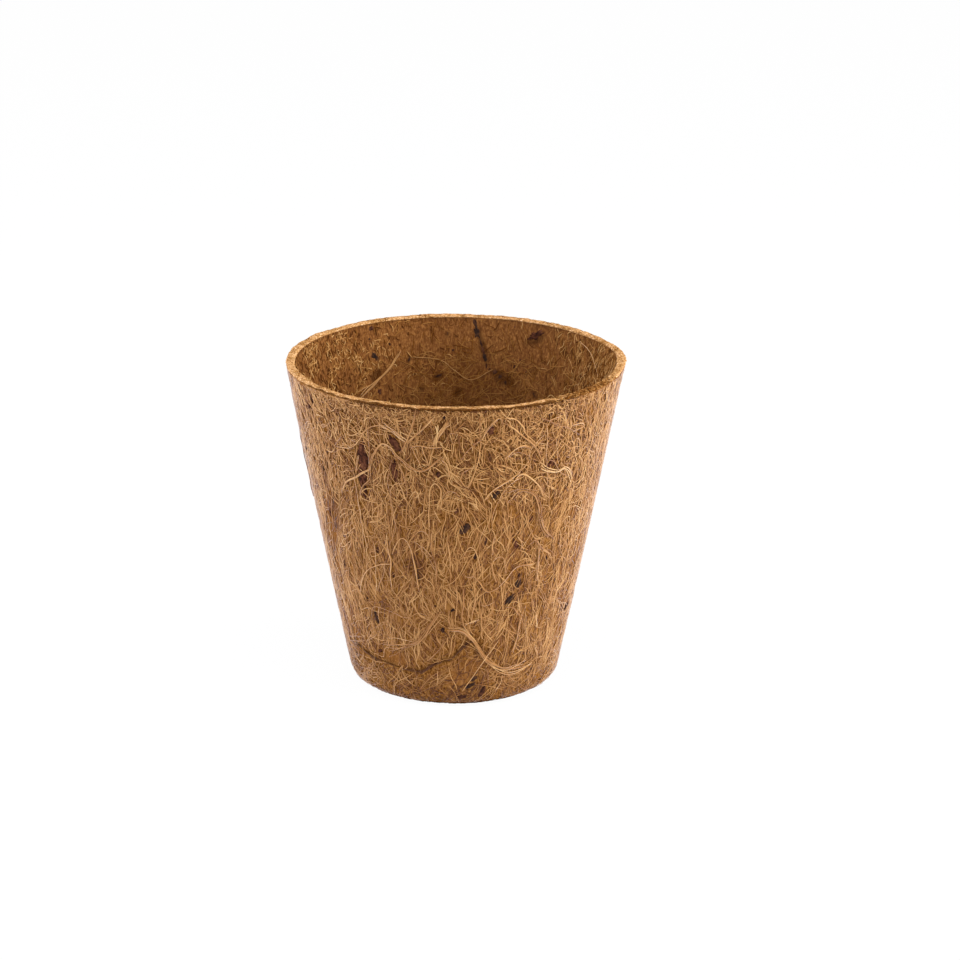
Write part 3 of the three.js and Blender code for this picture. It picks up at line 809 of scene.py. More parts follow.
def lay_fibres(name, skin, seed, count, reach, length, radius, lean, bend, waver, lift, tone,
               rings=6, bundle=1, sector=None, keep=None, edge=0.25, material=PRESSED_FIBRE):
    """Lays one layer of fibres. Reach is the run that its fibres may cover; length, radius, lift and tone are
    ranges; lean, bend and waver are the spreads of the heading; bundle is how many fibres lie side by side;
    sector is the bearing that they gather round and its spread; keep says which fibres stay, from their turns
    and runs. The lift is a share of the mat's depth. Ends are thinner and darker, and dip into the felt."""
    rng = np.random.default_rng(seed)
    turns, run, heading, bends, on_base = start_fibres(rng, skin, count, reach, lean, bend, bundle, sector)
    count = run.size
    turns, run = walk(rng, skin, turns, run, heading, rng.uniform(*length, count), bends,
                      rng.uniform(0, waver, count))
    turns, run, long_enough = cut_to(turns, run, *reach, rings)
    stay = long_enough if keep is None else long_enough & keep(rng, turns, run)
    share = np.linspace(0, 1, rings)
    tuck = 1 - (2 * share - 1) ** 6
    depth = mat_depth(turns, run) if skin is OUTER else np.full(run.shape, PRESSED_DEPTH)
    lifts = rng.uniform(*lift, count)[:, None]
    lifts = lifts + RIPPLE * np.sin(share * RIPPLE_TURN + rng.uniform(0, 6, count)[:, None])
    lifts = depth * (lifts * tuck - END_DIP * (1 - tuck))
    if skin is RIM:
        lifts = lifts + rim_wander(turns)
    radii = rng.uniform(*radius, count)[:, None] * (0.55 + 0.45 * tuck)
    radii = radii * (1 - BASE_THINNER * on_base[:, None])
    tones = rng.uniform(*tone, count)[:, None] - END_DARK * (1 - tuck) - BASE_DARK * on_base[:, None]
    turns, run, lifts, radii, tones = (values[stay] for values in (turns, run, lifts, radii, tones))
    centres = place(skin, turns, run, lifts)
    stain = oval_depth(skin, turns, run, OUTER_STAINS_AND_SHADE if skin is OUTER else INNER_STAINS)
    tones = tones + TONE_DRIFT * soft_noise(centres, DRIFT_SIZE, 31) - STAIN_DARK * ease(1.5 * stain)
    if skin is OUTER:
        edge = edge * (0.45 + 0.55 * coarse_zone(turns))
        # Painted shade under the lip, for all but the pale fibres, and on the heel just above the ground.
        tones = tones - LIP_DARK * under_lip(turns, run) * (tones < 0.75) - HEEL_DARK * heel_shade(run)
    if skin is RIM:
        tones = tones - FRAY_DARK * frayed_lip(turns)
    centres[..., 2] = np.maximum(centres[..., 2], radii)
    return fibre_piece(name, centres, outward(skin, turns, run), radii, tones, edge=edge, material=material)


# %% [markdown]
# ## Where the mat is thin
# Loose fibres leave the flakes of husk and the torn edge of the base in view. So before the mat is laid, the
# flakes and crumbs get their places, and a few rules say which fibres would cover them or cross the torn
# edge. Leaving such fibres out is simpler than bending each one round a flake, and looks the same.

# %% Flake places
STRIP_WIDTH, STRIP_LENGTH = 3.6, 17
BROAD, MEDIUM, NARROW = 2.4, 2, 1.5
LONG, MIDDLING, SHORT = 6.4, 4.5, 3
# Bearing, rise in per cent of the height, lean, width and length in mm
OUTER_FLAKES = {
    "left_tall": (-35, 79.3, 8, STRIP_WIDTH, STRIP_LENGTH),
    "upper_left": (-21.5, 87.8, -37, BROAD, LONG),
    "mid_left": (-22, 79, 0, MEDIUM, LONG),
    "low_left": (-39.3, 28, -12, NARROW, MIDDLING),
    "centre": (4, 61.1, 40, BROAD, MIDDLING),
    "centre_right": (15.3, 71.8, 35, NARROW, SHORT),
    "near_rim": (12.2, 92.7, 0, MEDIUM, SHORT),
    "upper_right": (37, 79.2, 62, MEDIUM, MIDDLING),
    "mid_right": (25.3, 54.8, -31, NARROW, MIDDLING),
    "low_right": (28.6, 41, 0, BROAD, SHORT),
    "lower_right": (25.6, 36.2, 42, MEDIUM, MIDDLING),
    "right_edge": (69, 26, 68, NARROW, MIDDLING),
    "side_right": (110, 68, 20, MEDIUM, MIDDLING),
    "side_left": (-100, 45, -25, BROAD, LONG),
    "back": (170, 52, -15, MEDIUM, LONG),
    "back_upper": (215, 82, 30, BROAD, MIDDLING),
}
INNER_FLAKES = {
    "inner_left": (-147.5, 89.3, -40, MEDIUM, MIDDLING),
    "inner_back": (171.8, 95, -12, MEDIUM, MIDDLING),
    "inner_right": (148, 96, 62, BROAD, LONG),
}

# %% Crumb places
OUTER_CRUMBS = [
    (-5.9, 78.8, 0, 1.2, 2), (0.9, 66.8, 40, 1, 2.2), (31.1, 62, 0, 1.5, 2.2), (8.4, 52, 0, 1.1, 2.4),
    (-5.2, 26.8, 0, 1.2, 2), (-40.6, 16.2, 60, 1.1, 2.6), (-58.1, 73.4, 5, 1.1, 2.6),
    (-59.5, 68.8, 5, 0.9, 2.4), (-60.1, 58.4, 10, 1.6, 3.4), (42.1, 47.7, 0, 0.7, 1.6),
    (-15.4, 44.6, 0, 1, 2), (12.5, 56.5, 5, 0.8, 3.4), (-3.6, 97, 0, 0.9, 1.2), (33.9, 95.6, 0, 1.2, 1.6),
    (-55.7, 42.8, 5, 0.8, 3), (-33.4, 51.5, 10, 0.9, 2.4), (-30.5, 50.9, -10, 0.8, 2),
    (-26.8, 44, 0, 1, 2.2), (28.6, 43.5, 5, 0.9, 2.6), (64, 27, 40, 1, 4), (77, 29, 10, 1, 4),
    (-0.6, 33.9, 50, 0.9, 2), (15.5, 5.3, 25, 1.8, 4.4), (10.4, 9.8, 50, 1.3, 3), (8.6, 7.6, 60, 1.4, 4.2),
    (4.4, 3.6, 70, 1.8, 4), (-60.5, 92.9, -5, 0.7, 3), (-35.8, 69.9, 12, 1.4, 4),
    (-62.5, 95.7, -8, 0.7, 3.2), (-57.4, 95.2, 0, 0.5, 2)]
INNER_CRUMBS = [
    (-154.1, 92.3, 0, 1.2, 1.6), (-147.7, 78.3, 30, 1.8, 2.2), (-146.7, 98, 75, 1.6, 2.8),
    (172.7, 98.0, -18, 1.7, 2.6), (170, 91.6, -18, 1, 3.6), (169.1, 89.3, -18, 0.9, 3.2),
    (168.4, 87.4, -18, 1.4, 3.2), (167.5, 85, -10, 0.8, 2.8), (166.3, 83.8, 30, 0.8, 1.6),
    (164, 83, 0, 1.6, 1.8), (161.6, 81.6, 40, 1.4, 2.2), (159.4, 80.2, -20, 1.2, 2),
    (-161.6, 87.1, 20, 1, 2.2), (-179.2, 89.3, 0, 1, 1.2), (-173.4, 81.4, 75, 1, 2.6),
    (-177.1, 94.2, 0, 0.7, 1.8), (153.8, 87.6, 30, 0.9, 1.6), (157.1, 97.6, 0, 1.3, 1.4),
    (145.7, 77.7, -40, 1.1, 2.4), (156, 85.4, 20, 0.8, 1.4)]
print("flakes:", len(OUTER_FLAKES) + len(INNER_FLAKES), "crumbs:", len(OUTER_CRUMBS) + len(INNER_CRUMBS))

# %% Thinning rules
THIN_FROM = 62 * MM


def open_edge(rng, turns, run):
    """Which fibres stay: all but most of those that cross the torn edge where it gapes."""
    above = np.interp(run, OUTER["run"], OUTER["height"]) > lap_top(turns)
    crosses = above.any(axis=1) & ~above.all(axis=1)
    return ~crosses | (rng.uniform(0, 1, len(turns)) > 0.95 * ease(3 * shown_lap(turns[:, 0])))


def clear_of_marks(rng, turns, run):
    """Which fibres of the outer mat stay: those that leave the torn edge open, less most that cover a flake,
    a crumb or bare pith."""
    covers = (oval_depth(OUTER, turns, run, [*OUTER_FLAKES.values(), *OUTER_CRUMBS]) > 0.2).any(axis=1)
    bare = oval_depth(OUTER, turns, run, PITH_PATCHES).mean(axis=1) > 0.25
    draw = rng.uniform(0, 1, len(turns))
    return (~covers | (draw < 0.12)) & (~bare | (draw < 0.3)) & open_edge(rng, turns, run)


def clear_below(rng, turns, run):
    """Which fine fibres stay: a third of them where the top of the pot is coarse, so that the coarse ones
    show."""
    top = ease((run.mean(axis=1) - run_at(OUTER, THIN_FROM)) / UPPER_EASE) * coarse_zone(turns[:, 0])
    return (rng.uniform(0, 1, len(turns)) > 0.68 * top) & clear_of_marks(rng, turns, run)


def clear_coarse(rng, turns, run):
    """Which coarse fibres stay: those in the coarse zones, clear of flakes, and a few elsewhere."""
    wanted = rng.uniform(0, 1, len(turns)) < 0.1 + 0.9 * coarse_zone(turns[:, 0])
    return wanted & clear_of_marks(rng, turns, run)


def clear_inside(rng, turns, run):
    """Which fibres of the inner face stay: all but most of those that cover a flake or a crumb."""
    covers = (oval_depth(INNER, turns, run, [*INNER_FLAKES.values(), *INNER_CRUMBS]) > 0.1).any(axis=1)
    return ~covers | (rng.uniform(0, 1, len(turns)) < 0.1)


def clumped_inside(rng, turns, run):
    """Which pale flecks stay: those in soft clumps a few millimetres wide, clear of flakes and crumbs."""
    clump = soft_noise(place(INNER, turns[:, 0], run[:, 0], 0.0), 4 * MM, 61)
    return (clump > rng.normal(0.05, 0.15, len(turns))) & clear_inside(rng, turns, run)


# %% [markdown]
# ## The outer mat
# Coir felt shows its history in layers. Deep down lie short, dark, mostly upright fibres. Over them come
# longer golden ones, side by side in small bundles, and on top a few loose loops and arches. The top third
# of the pot is the coarsest, with dark gaps between crossing straws and short bent worms, so it gets layers
# of its own, and they are left out at the combed sides. A table row per layer gives a count, sizes and
# spreads, so that one function lays them all.

# %% Layers of the outer mat
def mm(*values):
    """Millimetres as metres."""
    return tuple(value * MM for value in values)


WALL_REACH = (run_at(OUTER, 1.2 * MM), TOP_RUN)
UPPER_REACH = (run_at(OUTER, 66 * MM), TOP_RUN)
RIM_REACH = (TOP_RUN - 4 * MM, TOP_RUN - 0.1 * MM)
COARSE_EDGE = 0.46

OUTER_LAYERS = {
    # The deep layer's low tones are partly the darker old fibre, partly painted shade for the depth of the
    # mat.
    "coir_mat_deep": dict(
        seed=101, count=6000, reach=WALL_REACH, length=mm(4, 9), radius=mm(0.18, 0.28),
        lean=0.4, bend=0.5, waver=0.3, lift=(-1.0, -0.7), tone=(0.15, 0.45), rings=4),
    "coir_mat_short": dict(
        seed=102, count=7600, reach=WALL_REACH, length=mm(2, 5), radius=mm(0.1, 0.17),
        lean=0.4, bend=0.8, waver=0.4, lift=(-0.8, -0.3), tone=(0.3, 0.75), rings=4, bundle=2),
    "coir_mat_lint": dict(
        seed=108, count=6000, reach=WALL_REACH, length=mm(1.5, 5), radius=mm(0.06, 0.1),
        lean=0.45, bend=1.0, waver=0.4, lift=(-0.6, 0.0), tone=(0.35, 0.85), rings=4, bundle=2),
    "coir_mat_upright": dict(
        seed=103, count=6000, reach=WALL_REACH, length=mm(5, 13), radius=mm(0.12, 0.19),
        lean=0.22, bend=0.5, waver=0.35, lift=(-0.45, 0.1), tone=(0.5, 0.9), rings=6, bundle=3),
    "coir_mat_golden": dict(
        seed=104, count=3400, reach=WALL_REACH, length=mm(4, 11), radius=mm(0.12, 0.18),
        lean=0.3, bend=1.0, waver=0.4, lift=(-0.45, 0.1), tone=(0.5, 0.95), rings=8, bundle=2),
    "coir_mat_curls": dict(
        seed=109, count=2400, reach=WALL_REACH, length=mm(3, 8), radius=mm(0.09, 0.15),
        lean=0.6, bend=1.7, waver=0.4, lift=(-0.3, 0.15), tone=(0.55, 0.95), rings=8, bundle=2),
    "coir_mat_loops": dict(
        seed=105, count=420, reach=WALL_REACH, length=mm(7, 15), radius=mm(0.1, 0.15),
        lean=0.8, bend=2.2, waver=0.4, lift=(-0.2, 0.15), tone=(0.6, 0.95), rings=11),
    "coir_mat_straws": dict(
        seed=106, count=3000, reach=UPPER_REACH, length=mm(4, 10), radius=mm(0.15, 0.22), edge=COARSE_EDGE,
        lean=0.6, bend=0.6, waver=0.3, lift=(-0.6, 0.1), tone=(0.38, 1.08), rings=6, bundle=2),
    "coir_mat_worms": dict(
        seed=110, count=4000, reach=UPPER_REACH, length=mm(2, 6), radius=mm(0.13, 0.2), edge=COARSE_EDGE,
        lean=0.7, bend=1.3, waver=0.4, lift=(-0.5, 0.15), tone=(0.38, 1.12), rings=6, bundle=2),
    "coir_mat_rim_worms": dict(
        seed=119, count=2600, reach=RIM_REACH, length=mm(1.2, 3.5), radius=mm(0.1, 0.16), edge=COARSE_EDGE,
        lean=0.7, bend=1.5, waver=0.4, lift=(-0.35, 0.2), tone=(0.5, 1.05), rings=6),
    "coir_mat_arches": dict(
        seed=107, count=420, reach=UPPER_REACH, length=mm(7, 16), radius=mm(0.12, 0.17),
        lean=0.9, bend=2.2, waver=0.4, lift=(-0.2, 0.2), tone=(0.6, 0.95), rings=11),
}
COARSE_LAYERS = ("coir_mat_straws", "coir_mat_worms", "coir_mat_rim_worms", "coir_mat_arches")
for name, layer in OUTER_LAYERS.items():
    rule = clear_coarse if name in COARSE_LAYERS else clear_below
    rule = open_edge if name == "coir_mat_deep" else rule
    lay_fibres(name, OUTER, keep=rule, material=FUZZY_FIBRE, **layer)

# %% [markdown]
# ## Under the foot, inside and on the rim
# The foot is pressed flat, so its fibres lie in every direction and never reach below the ground. Inside,
# the former has ironed the felt smooth: short bits of fibre show, pale ones in clumps where the light falls
# and a few long threads across the back. The rim is a cut through the whole felt, where the ends and slices
# of fibres crowd, pale and bright, and its lip is frayed in one place. The same function lays them all,
# from a second table.

# %% Layers of the foot, the inner face and the rim
FOOT_REACH = (0.5 * MM, run_at(OUTER, 2 * MM))
INNER_REACH = (0.5 * MM, INNER_TOP)
INNER_UPPER = (run_at(INNER, 30 * MM), INNER_TOP)
INNER_BACK = (run_at(INNER, 66 * MM), run_at(INNER, 88 * MM))
INNER_RIGHT = (run_at(INNER, 72 * MM), INNER_TOP)
CUT_REACH = (0.9 * MM, RIM_END - 0.1 * MM)
EDGE_REACH = (0.0, 0.7 * MM)
FRAY_REACH = (0.0, 2.4 * MM)
LIT_LEFT, LIT_RIGHT = (-116, 22), (114, 17)

PRESSED_LAYERS = {
    "coir_foot_fibres": dict(
        skin=OUTER, seed=111, count=3000, reach=FOOT_REACH, length=mm(4, 11), radius=mm(0.09, 0.16),
        lean=3.0, bend=1.2, waver=0.4, lift=(-0.9, -0.4), tone=(0.25, 0.7)),
    "coir_inner_fibres": dict(
        skin=INNER, seed=112, count=6400, reach=INNER_REACH, length=mm(2, 7), radius=mm(0.1, 0.17),
        lean=0.8, bend=0.8, waver=0.4, lift=(-0.6, 0.5), tone=(0.15, 0.65), rings=5, keep=clear_inside),
    "coir_inner_flecks": dict(
        skin=INNER, seed=113, count=4000, reach=INNER_UPPER, length=mm(0.8, 3), radius=mm(0.1, 0.18),
        lean=0.7, bend=1.2, waver=0.4, lift=(0, 1.2), tone=(0.5, 1.05), rings=5,
        sector=LIT_LEFT, keep=clumped_inside),
    # Dark fibres among the pale flecks are painted shade in the gaps between them.
    "coir_inner_shade_fibres": dict(
        skin=INNER, seed=115, count=1100, reach=INNER_UPPER, length=mm(0.8, 2.5), radius=mm(0.12, 0.2),
        lean=0.4, bend=0.7, waver=0.3, lift=(-0.2, 0.8), tone=(-0.1, 0.1), rings=5,
        sector=LIT_LEFT, keep=clear_inside),
    "coir_inner_threads": dict(
        skin=INNER, seed=116, count=1500, reach=INNER_UPPER, length=mm(1.5, 6), radius=mm(0.09, 0.15),
        lean=0.4, bend=1.0, waver=0.4, lift=(0, 1.2), tone=(0.55, 1.1), rings=7,
        sector=LIT_RIGHT, keep=clumped_inside),
    "coir_inner_cross_threads": dict(
        skin=INNER, seed=121, count=420, reach=INNER_BACK, length=mm(3, 10), radius=mm(0.07, 0.12),
        lean=3.0, bend=0.7, waver=0.5, lift=(0.2, 1.2), tone=(0.4, 0.76), rings=8,
        sector=(168, 24), keep=clear_inside),
    "coir_inner_right_fibres": dict(
        skin=INNER, seed=122, count=1000, reach=INNER_RIGHT, length=mm(1.5, 5), radius=mm(0.1, 0.17),
        lean=0.3, bend=0.6, waver=0.3, lift=(-0.2, 0.8), tone=(-0.05, 1.0), rings=5,
        sector=(110, 12), keep=clear_inside),
    "coir_rim_fibres": dict(
        skin=RIM, seed=114, count=6400, reach=CUT_REACH, length=mm(0.4, 1.4), radius=mm(0.09, 0.16),
        lean=1.5, bend=1.2, waver=0.4, lift=(-0.6, 0.4), tone=(0.3, 1.15), rings=4),
    # Short fibres over the front of the lip's outer round: their dark tones are painted shade under the lip.
    "coir_rim_edge_fibres": dict(
        skin=RIM, seed=117, count=1100, reach=EDGE_REACH, length=mm(0.4, 1.0), radius=mm(0.07, 0.12),
        lean=0.7, bend=0.8, waver=0.3, lift=(-0.6, 0.3), tone=(-0.2, 0.45), rings=4, sector=(2, 21)),
    "coir_rim_frayed_fibres": dict(
        skin=RIM, seed=120, count=600, reach=FRAY_REACH, length=mm(0.6, 1.8), radius=mm(0.1, 0.17),
        lean=1.2, bend=1.4, waver=0.4, lift=(-0.4, 3.0), tone=(0.1, 1.0), rings=5,
        sector=(FRAY_BEARING, 8), edge=0.3),
}
for name, layer in PRESSED_LAYERS.items():
    lay_fibres(name, **layer)


# %% Dark fibres along the torn edge, as painted shade
def torn_edge_shade_fibres(rng, count, rings):
    """Centres, ways out, radii and tones of short dark fibres that lie along the torn edge where it gapes:
    a line of painted shade in the gap.
    """
    middle = np.radians(rng.uniform(TEAR_LEFT + 2, TEAR_RIGHT - 2, count * 3))
    middle = middle[rng.uniform(0, 0.8, middle.size) < shown_lap(middle)][:count]
    half = rng.uniform(0.7, 2, middle.size)[:, None] * MM / FOOT_RADIUS
    turns = middle[:, None] + half * np.linspace(-1, 1, rings)
    run = run_at(OUTER, lap_top(turns)) + rng.normal(0.1 * MM, 0.35 * MM, middle.size)[:, None]
    tuck = 1 - np.linspace(-1, 1, rings) ** 4
    lifts = rng.uniform(-0.15, 0.05, middle.size)[:, None] * MM - 0.3 * MM * (1 - tuck)
    radii = rng.uniform(0.08, 0.16, middle.size)[:, None] * MM * (0.5 + 0.5 * tuck)
    tones = rng.uniform(-0.1, 0.2, middle.size)[:, None] * np.ones(rings)
    return place(OUTER, turns, run, lifts), outward(OUTER, turns, run), radii, tones


fibre_piece("coir_torn_edge_fibres", *torn_edge_shade_fibres(np.random.default_rng(118), 30, 7))

# %% [markdown]
# ## Strands that stand out
# Here and there a thick strand or a bundle of fibres lies on the felt where anyone can follow it with a
# finger. Each has its own node in the CAD model, so it is rebuilt on the same route: stops of bearing in
# degrees and rise in per cent of the height, with a smooth curve through them. One thick tube would look
# like wire, so a strand is several fibres that wind round that curve and fray at its ends.

# %% Strand routes
THICK, PLAIN, FINE = 0.5 * MM, 0.38 * MM, 0.28 * MM
CROSSING_LIFT = 0.8 * MM
OUTER_STRANDS = {
    "heel_bundle": (THICK, [[-3, 28], [4, 27], [10, 22.8], [15, 17.2], [21, 13.6], [28, 11.5], [36, 11.8],
                            [43, 13.2]]),
    "heel_arm": (PLAIN, [[-5, 33.5], [-10, 29], [-17, 23], [-25, 21], [-36, 18.2]]),
    "heel_crossing": (FINE, [[22, 22.8], [15, 17.2, CROSSING_LIFT], [9, 10.5], [4.5, 6]]),
    "left_arch": (PLAIN, [[-33, 74.5], [-31.5, 81], [-28, 85.8], [-25.5, 87.7], [-22.5, 86.7], [-20, 83.7],
                          [-12, 79.5], [-3.5, 84.5]]),
    "left_wave": (FINE, [[-47, 83], [-39.5, 84], [-35.5, 86.7], [-31.5, 91], [-27, 93], [-22, 92.8],
                         [-17.5, 89.8]]),
    "left_upright": (FINE, [[-39.5, 76], [-39.3, 70], [-39, 60.3], [-38, 51.8]]),
    "left_hook": (FINE, [[-27, 48], [-33, 46.7], [-39, 44.2], [-43.5, 40.6], [-47, 35.5]]),
    "low_left_wave": (FINE, [[-42, 27], [-40.3, 31], [-36.5, 32], [-28, 31.2], [-22, 30.3], [-16.5, 32.4],
                             [-13, 32]]),
    "centre_hook": (FINE, [[-10, 56.8], [-9.7, 67], [-9, 73.5], [-7, 76], [-5, 73.6], [-5.8, 69.4]]),
    "centre_loop": (FINE, [[8.5, 89.7], [8.3, 85], [6.8, 79], [4.4, 75], [2, 77.3], [3, 80]]),
    "centre_zigzag": (FINE, [[4, 46.6], [5.5, 45.3], [8, 45.4], [10, 43.7], [14, 39.9], [18.5, 40.7],
                             [22, 43.1], [27, 47], [34, 47]]),
    "centre_thread": (FINE, [[12, 34], [12.4, 28.5], [13.2, 24]]),
    "rim_straw": (PLAIN, [[-6, 95], [-6, 88.8]]),
    "rim_straw_right": (PLAIN, [[17.5, 97], [20.5, 95.5], [24, 92.3]]),
    "right_arch": (PLAIN, [[20, 69], [24.5, 72.7], [30.5, 71], [33.5, 67], [35, 62.5], [37.5, 57.8],
                           [43, 52.8]]),
    "right_squiggle": (THICK, [[31, 80.5], [35, 78], [40, 76.6], [43.5, 77], [46.5, 75], [48.5, 72]]),
    "right_diagonal": (FINE, [[58, 70], [51, 64.4], [47.5, 58.8]]),
    "right_upright": (PLAIN, [[36, 52.8], [38.3, 41]]),
    "side_right_sweep": (FINE, [[92, 84], [98, 75], [101, 63], [99, 52]]),
    "side_left_sweep": (PLAIN, [[-95, 88], [-88, 80], [-84, 69], [-85, 58]]),
    "back_arch": (PLAIN, [[150, 70], [156, 77], [164, 79], [171, 74], [174, 66]]),
    "back_bundle": (THICK, [[205, 16], [214, 20], [222, 27], [226, 35], [236, 41]]),
    "back_hook": (FINE, [[140, 50], [141, 60], [145, 64], [149, 60]]),
    "back_loop": (FINE, [[232, 86], [231, 78], [235, 74], [239, 77], [238, 83]]),
    "back_straw": (PLAIN, [[180, 92], [182, 81]]),
    "back_thread": (FINE, [[160, 14], [168, 20], [178, 23], [188, 21]]),
    "back_wave": (FINE, [[190, 40], [197, 44], [205, 42], [213, 46], [222, 44]]),
}
INNER_STRANDS = {
    "inner_straw": (THICK, [[-158, 90], [-153, 85.2], [-146.5, 81.5], [-137.5, 78.6]]),
    "inner_wave": (FINE, [[-163, 87.7], [-174, 86.3], [-179.5, 83.2], [-186.5, 80.2], [-195, 83.7]]),
    "inner_straw_right": (PLAIN, [[126.5, 97.6], [117.5, 95], [109.5, 89.8]]),
}
print("strands:", len(OUTER_STRANDS) + len(INNER_STRANDS))


# %% Strands from their routes
def smooth_route(stops, place_on):
    """Points of the curve through the stops at places counted in stops: between two stops it is the cubic
    whose slopes there run parallel to the lines between their neighbours."""
    stops = np.array([[*stop, 0][:3] for stop in stops], float)
    held = np.vstack([2 * stops[0] - stops[1], stops, 2 * stops[-1] - stops[-2]])
    index = np.clip(place_on.astype(int), 0, len(stops) - 2)
    t = (place_on - index)[..., None]
    a, b, c, d = (held[index + k] for k in range(4))
    return 0.5 * (2 * b + (c - a) * t + (2 * a - 5 * b + 4 * c - d) * t ** 2
                  + (3 * b - a - 3 * c + d) * t ** 3)


def wind_fibres(rng, skin, stops, radius, fibres, rings, spread=1.0, fan=0.0, tone=0.6):
    """Fibres that wind round a route within its radius times the spread, each over a stretch of its own, so
    that the ends are frayed. They part towards the ends, by the fan on the far half, and lie flatter than
    wide. Returns their centres, the ways out of the felt there, and their tones."""
    start = rng.uniform(0, 0.12, fibres)[:, None]
    finish = rng.uniform(0.88, 1, fibres)[:, None]
    start[0], finish[0] = 0, 1
    share = start + (finish - start) * np.linspace(0, 1, rings)
    route = smooth_route(stops, share * (len(stops) - 1))
    turns = np.radians(route[..., 0])
    run = run_at(skin, route[..., 1] / 100 * POT_HEIGHT)
    middle = place(skin, turns, run, 0.04 * MM + 0.25 * radius + route[..., 2])
    out = outward(skin, turns, run)
    across = unit(np.cross(np.gradient(middle, axis=1), out))
    wind = rng.uniform(0, 2 * math.pi, fibres)[:, None] + 5 * share + rng.normal(0, 0.5, fibres)[:, None]
    fray = 1 + 0.9 * np.abs(2 * share - 1) ** 4 + fan * ease(2 * share - 0.9)
    reach = radius * spread * rng.uniform(0.2, 0.9, fibres)[:, None] * fray * (fibres > 1)
    centres = middle + across * (reach * np.cos(wind))[..., None]
    centres = centres + out * (0.4 * np.minimum(reach, radius) * np.sin(wind))[..., None]
    wander = [soft_noise(centres, 2.5 * MM, seed) for seed in rng.integers(0, 9999, 2)]
    centres = centres + 0.16 * MM * np.stack([*wander, 0 * share], axis=-1)
    tuck = 1 - (2 * np.linspace(0, 1, rings) - 1) ** 8
    tone = tone + rng.uniform(-0.22, 0.22, fibres)[:, None]
    tone = tone + 0.15 * soft_noise(centres, 2 * MM, 32) - 0.15 * (1 - tuck)
    return centres, out, tone


# Fibres, spread, fan and tone, by thickness, and for the strands that differ from the rest of theirs by name
STRAND_LOOKS = {
    THICK: (7, 1.2, 0.0, 0.75), PLAIN: (3, 1.2, 0.0, 0.72), FINE: (2, 0.5, 0.0, 0.76),
    "heel_bundle": (8, 1.3, 2.6, 0.74), "heel_arm": (5, 2.6, 2.0, 0.64), "heel_crossing": (2, 0.5, 0.0, 0.85),
    "left_arch": (4, 1.5, 0.0, 0.68), "right_arch": (4, 2.2, 0.0, 0.6), "rim_straw": (3, 0.8, 0.0, 0.98),
    "rim_straw_right": (2, 0.8, 0.0, 0.95), "low_left_wave": (1, 0.5, 0.0, 0.68),
    "centre_zigzag": (2, 0.5, 0.0, 0.66), "right_squiggle": (3, 1.2, 0.0, 1.04),
    "back_bundle": (8, 1.3, 3.0, 0.8), "inner_straw": (5, 0.6, 3.0, 0.8), "inner_wave": (1, 1.0, 0.0, 0.62),
    "inner_straw_right": (2, 0.6, 0.0, 0.9)}
for skin, strands in ((OUTER, OUTER_STRANDS), (INNER, INNER_STRANDS)):
    for order, (name, (radius, stops)) in enumerate(strands.items()):
        rng = np.random.default_rng((200, skin is INNER, order))
        rings = 12 + 5 * len(stops)
        fibres, *look = STRAND_LOOKS.get(name, STRAND_LOOKS[radius])
        centres, out, tone = wind_fibres(rng, skin, stops, radius, fibres, rings, *look)
        radii = rng.uniform(0.1, 0.16, fibres)[:, None] * MM * np.ones(rings)
        piece = fibre_piece("coir_strand_" + name, centres, out, radii, tone, 5, 0.7, "coir_strand", 0.4)
        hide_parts("strand_" + name)

# %% [markdown]
# ## Fibres that the eye can follow
# Between the big strands the front shows many single fibres and thin groups that can be told apart: hooks,
# arches, straws that cross. A random layer never draws those where they are, so they come from a list of
# routes, in the same way as the strands, but as one piece of the mat.

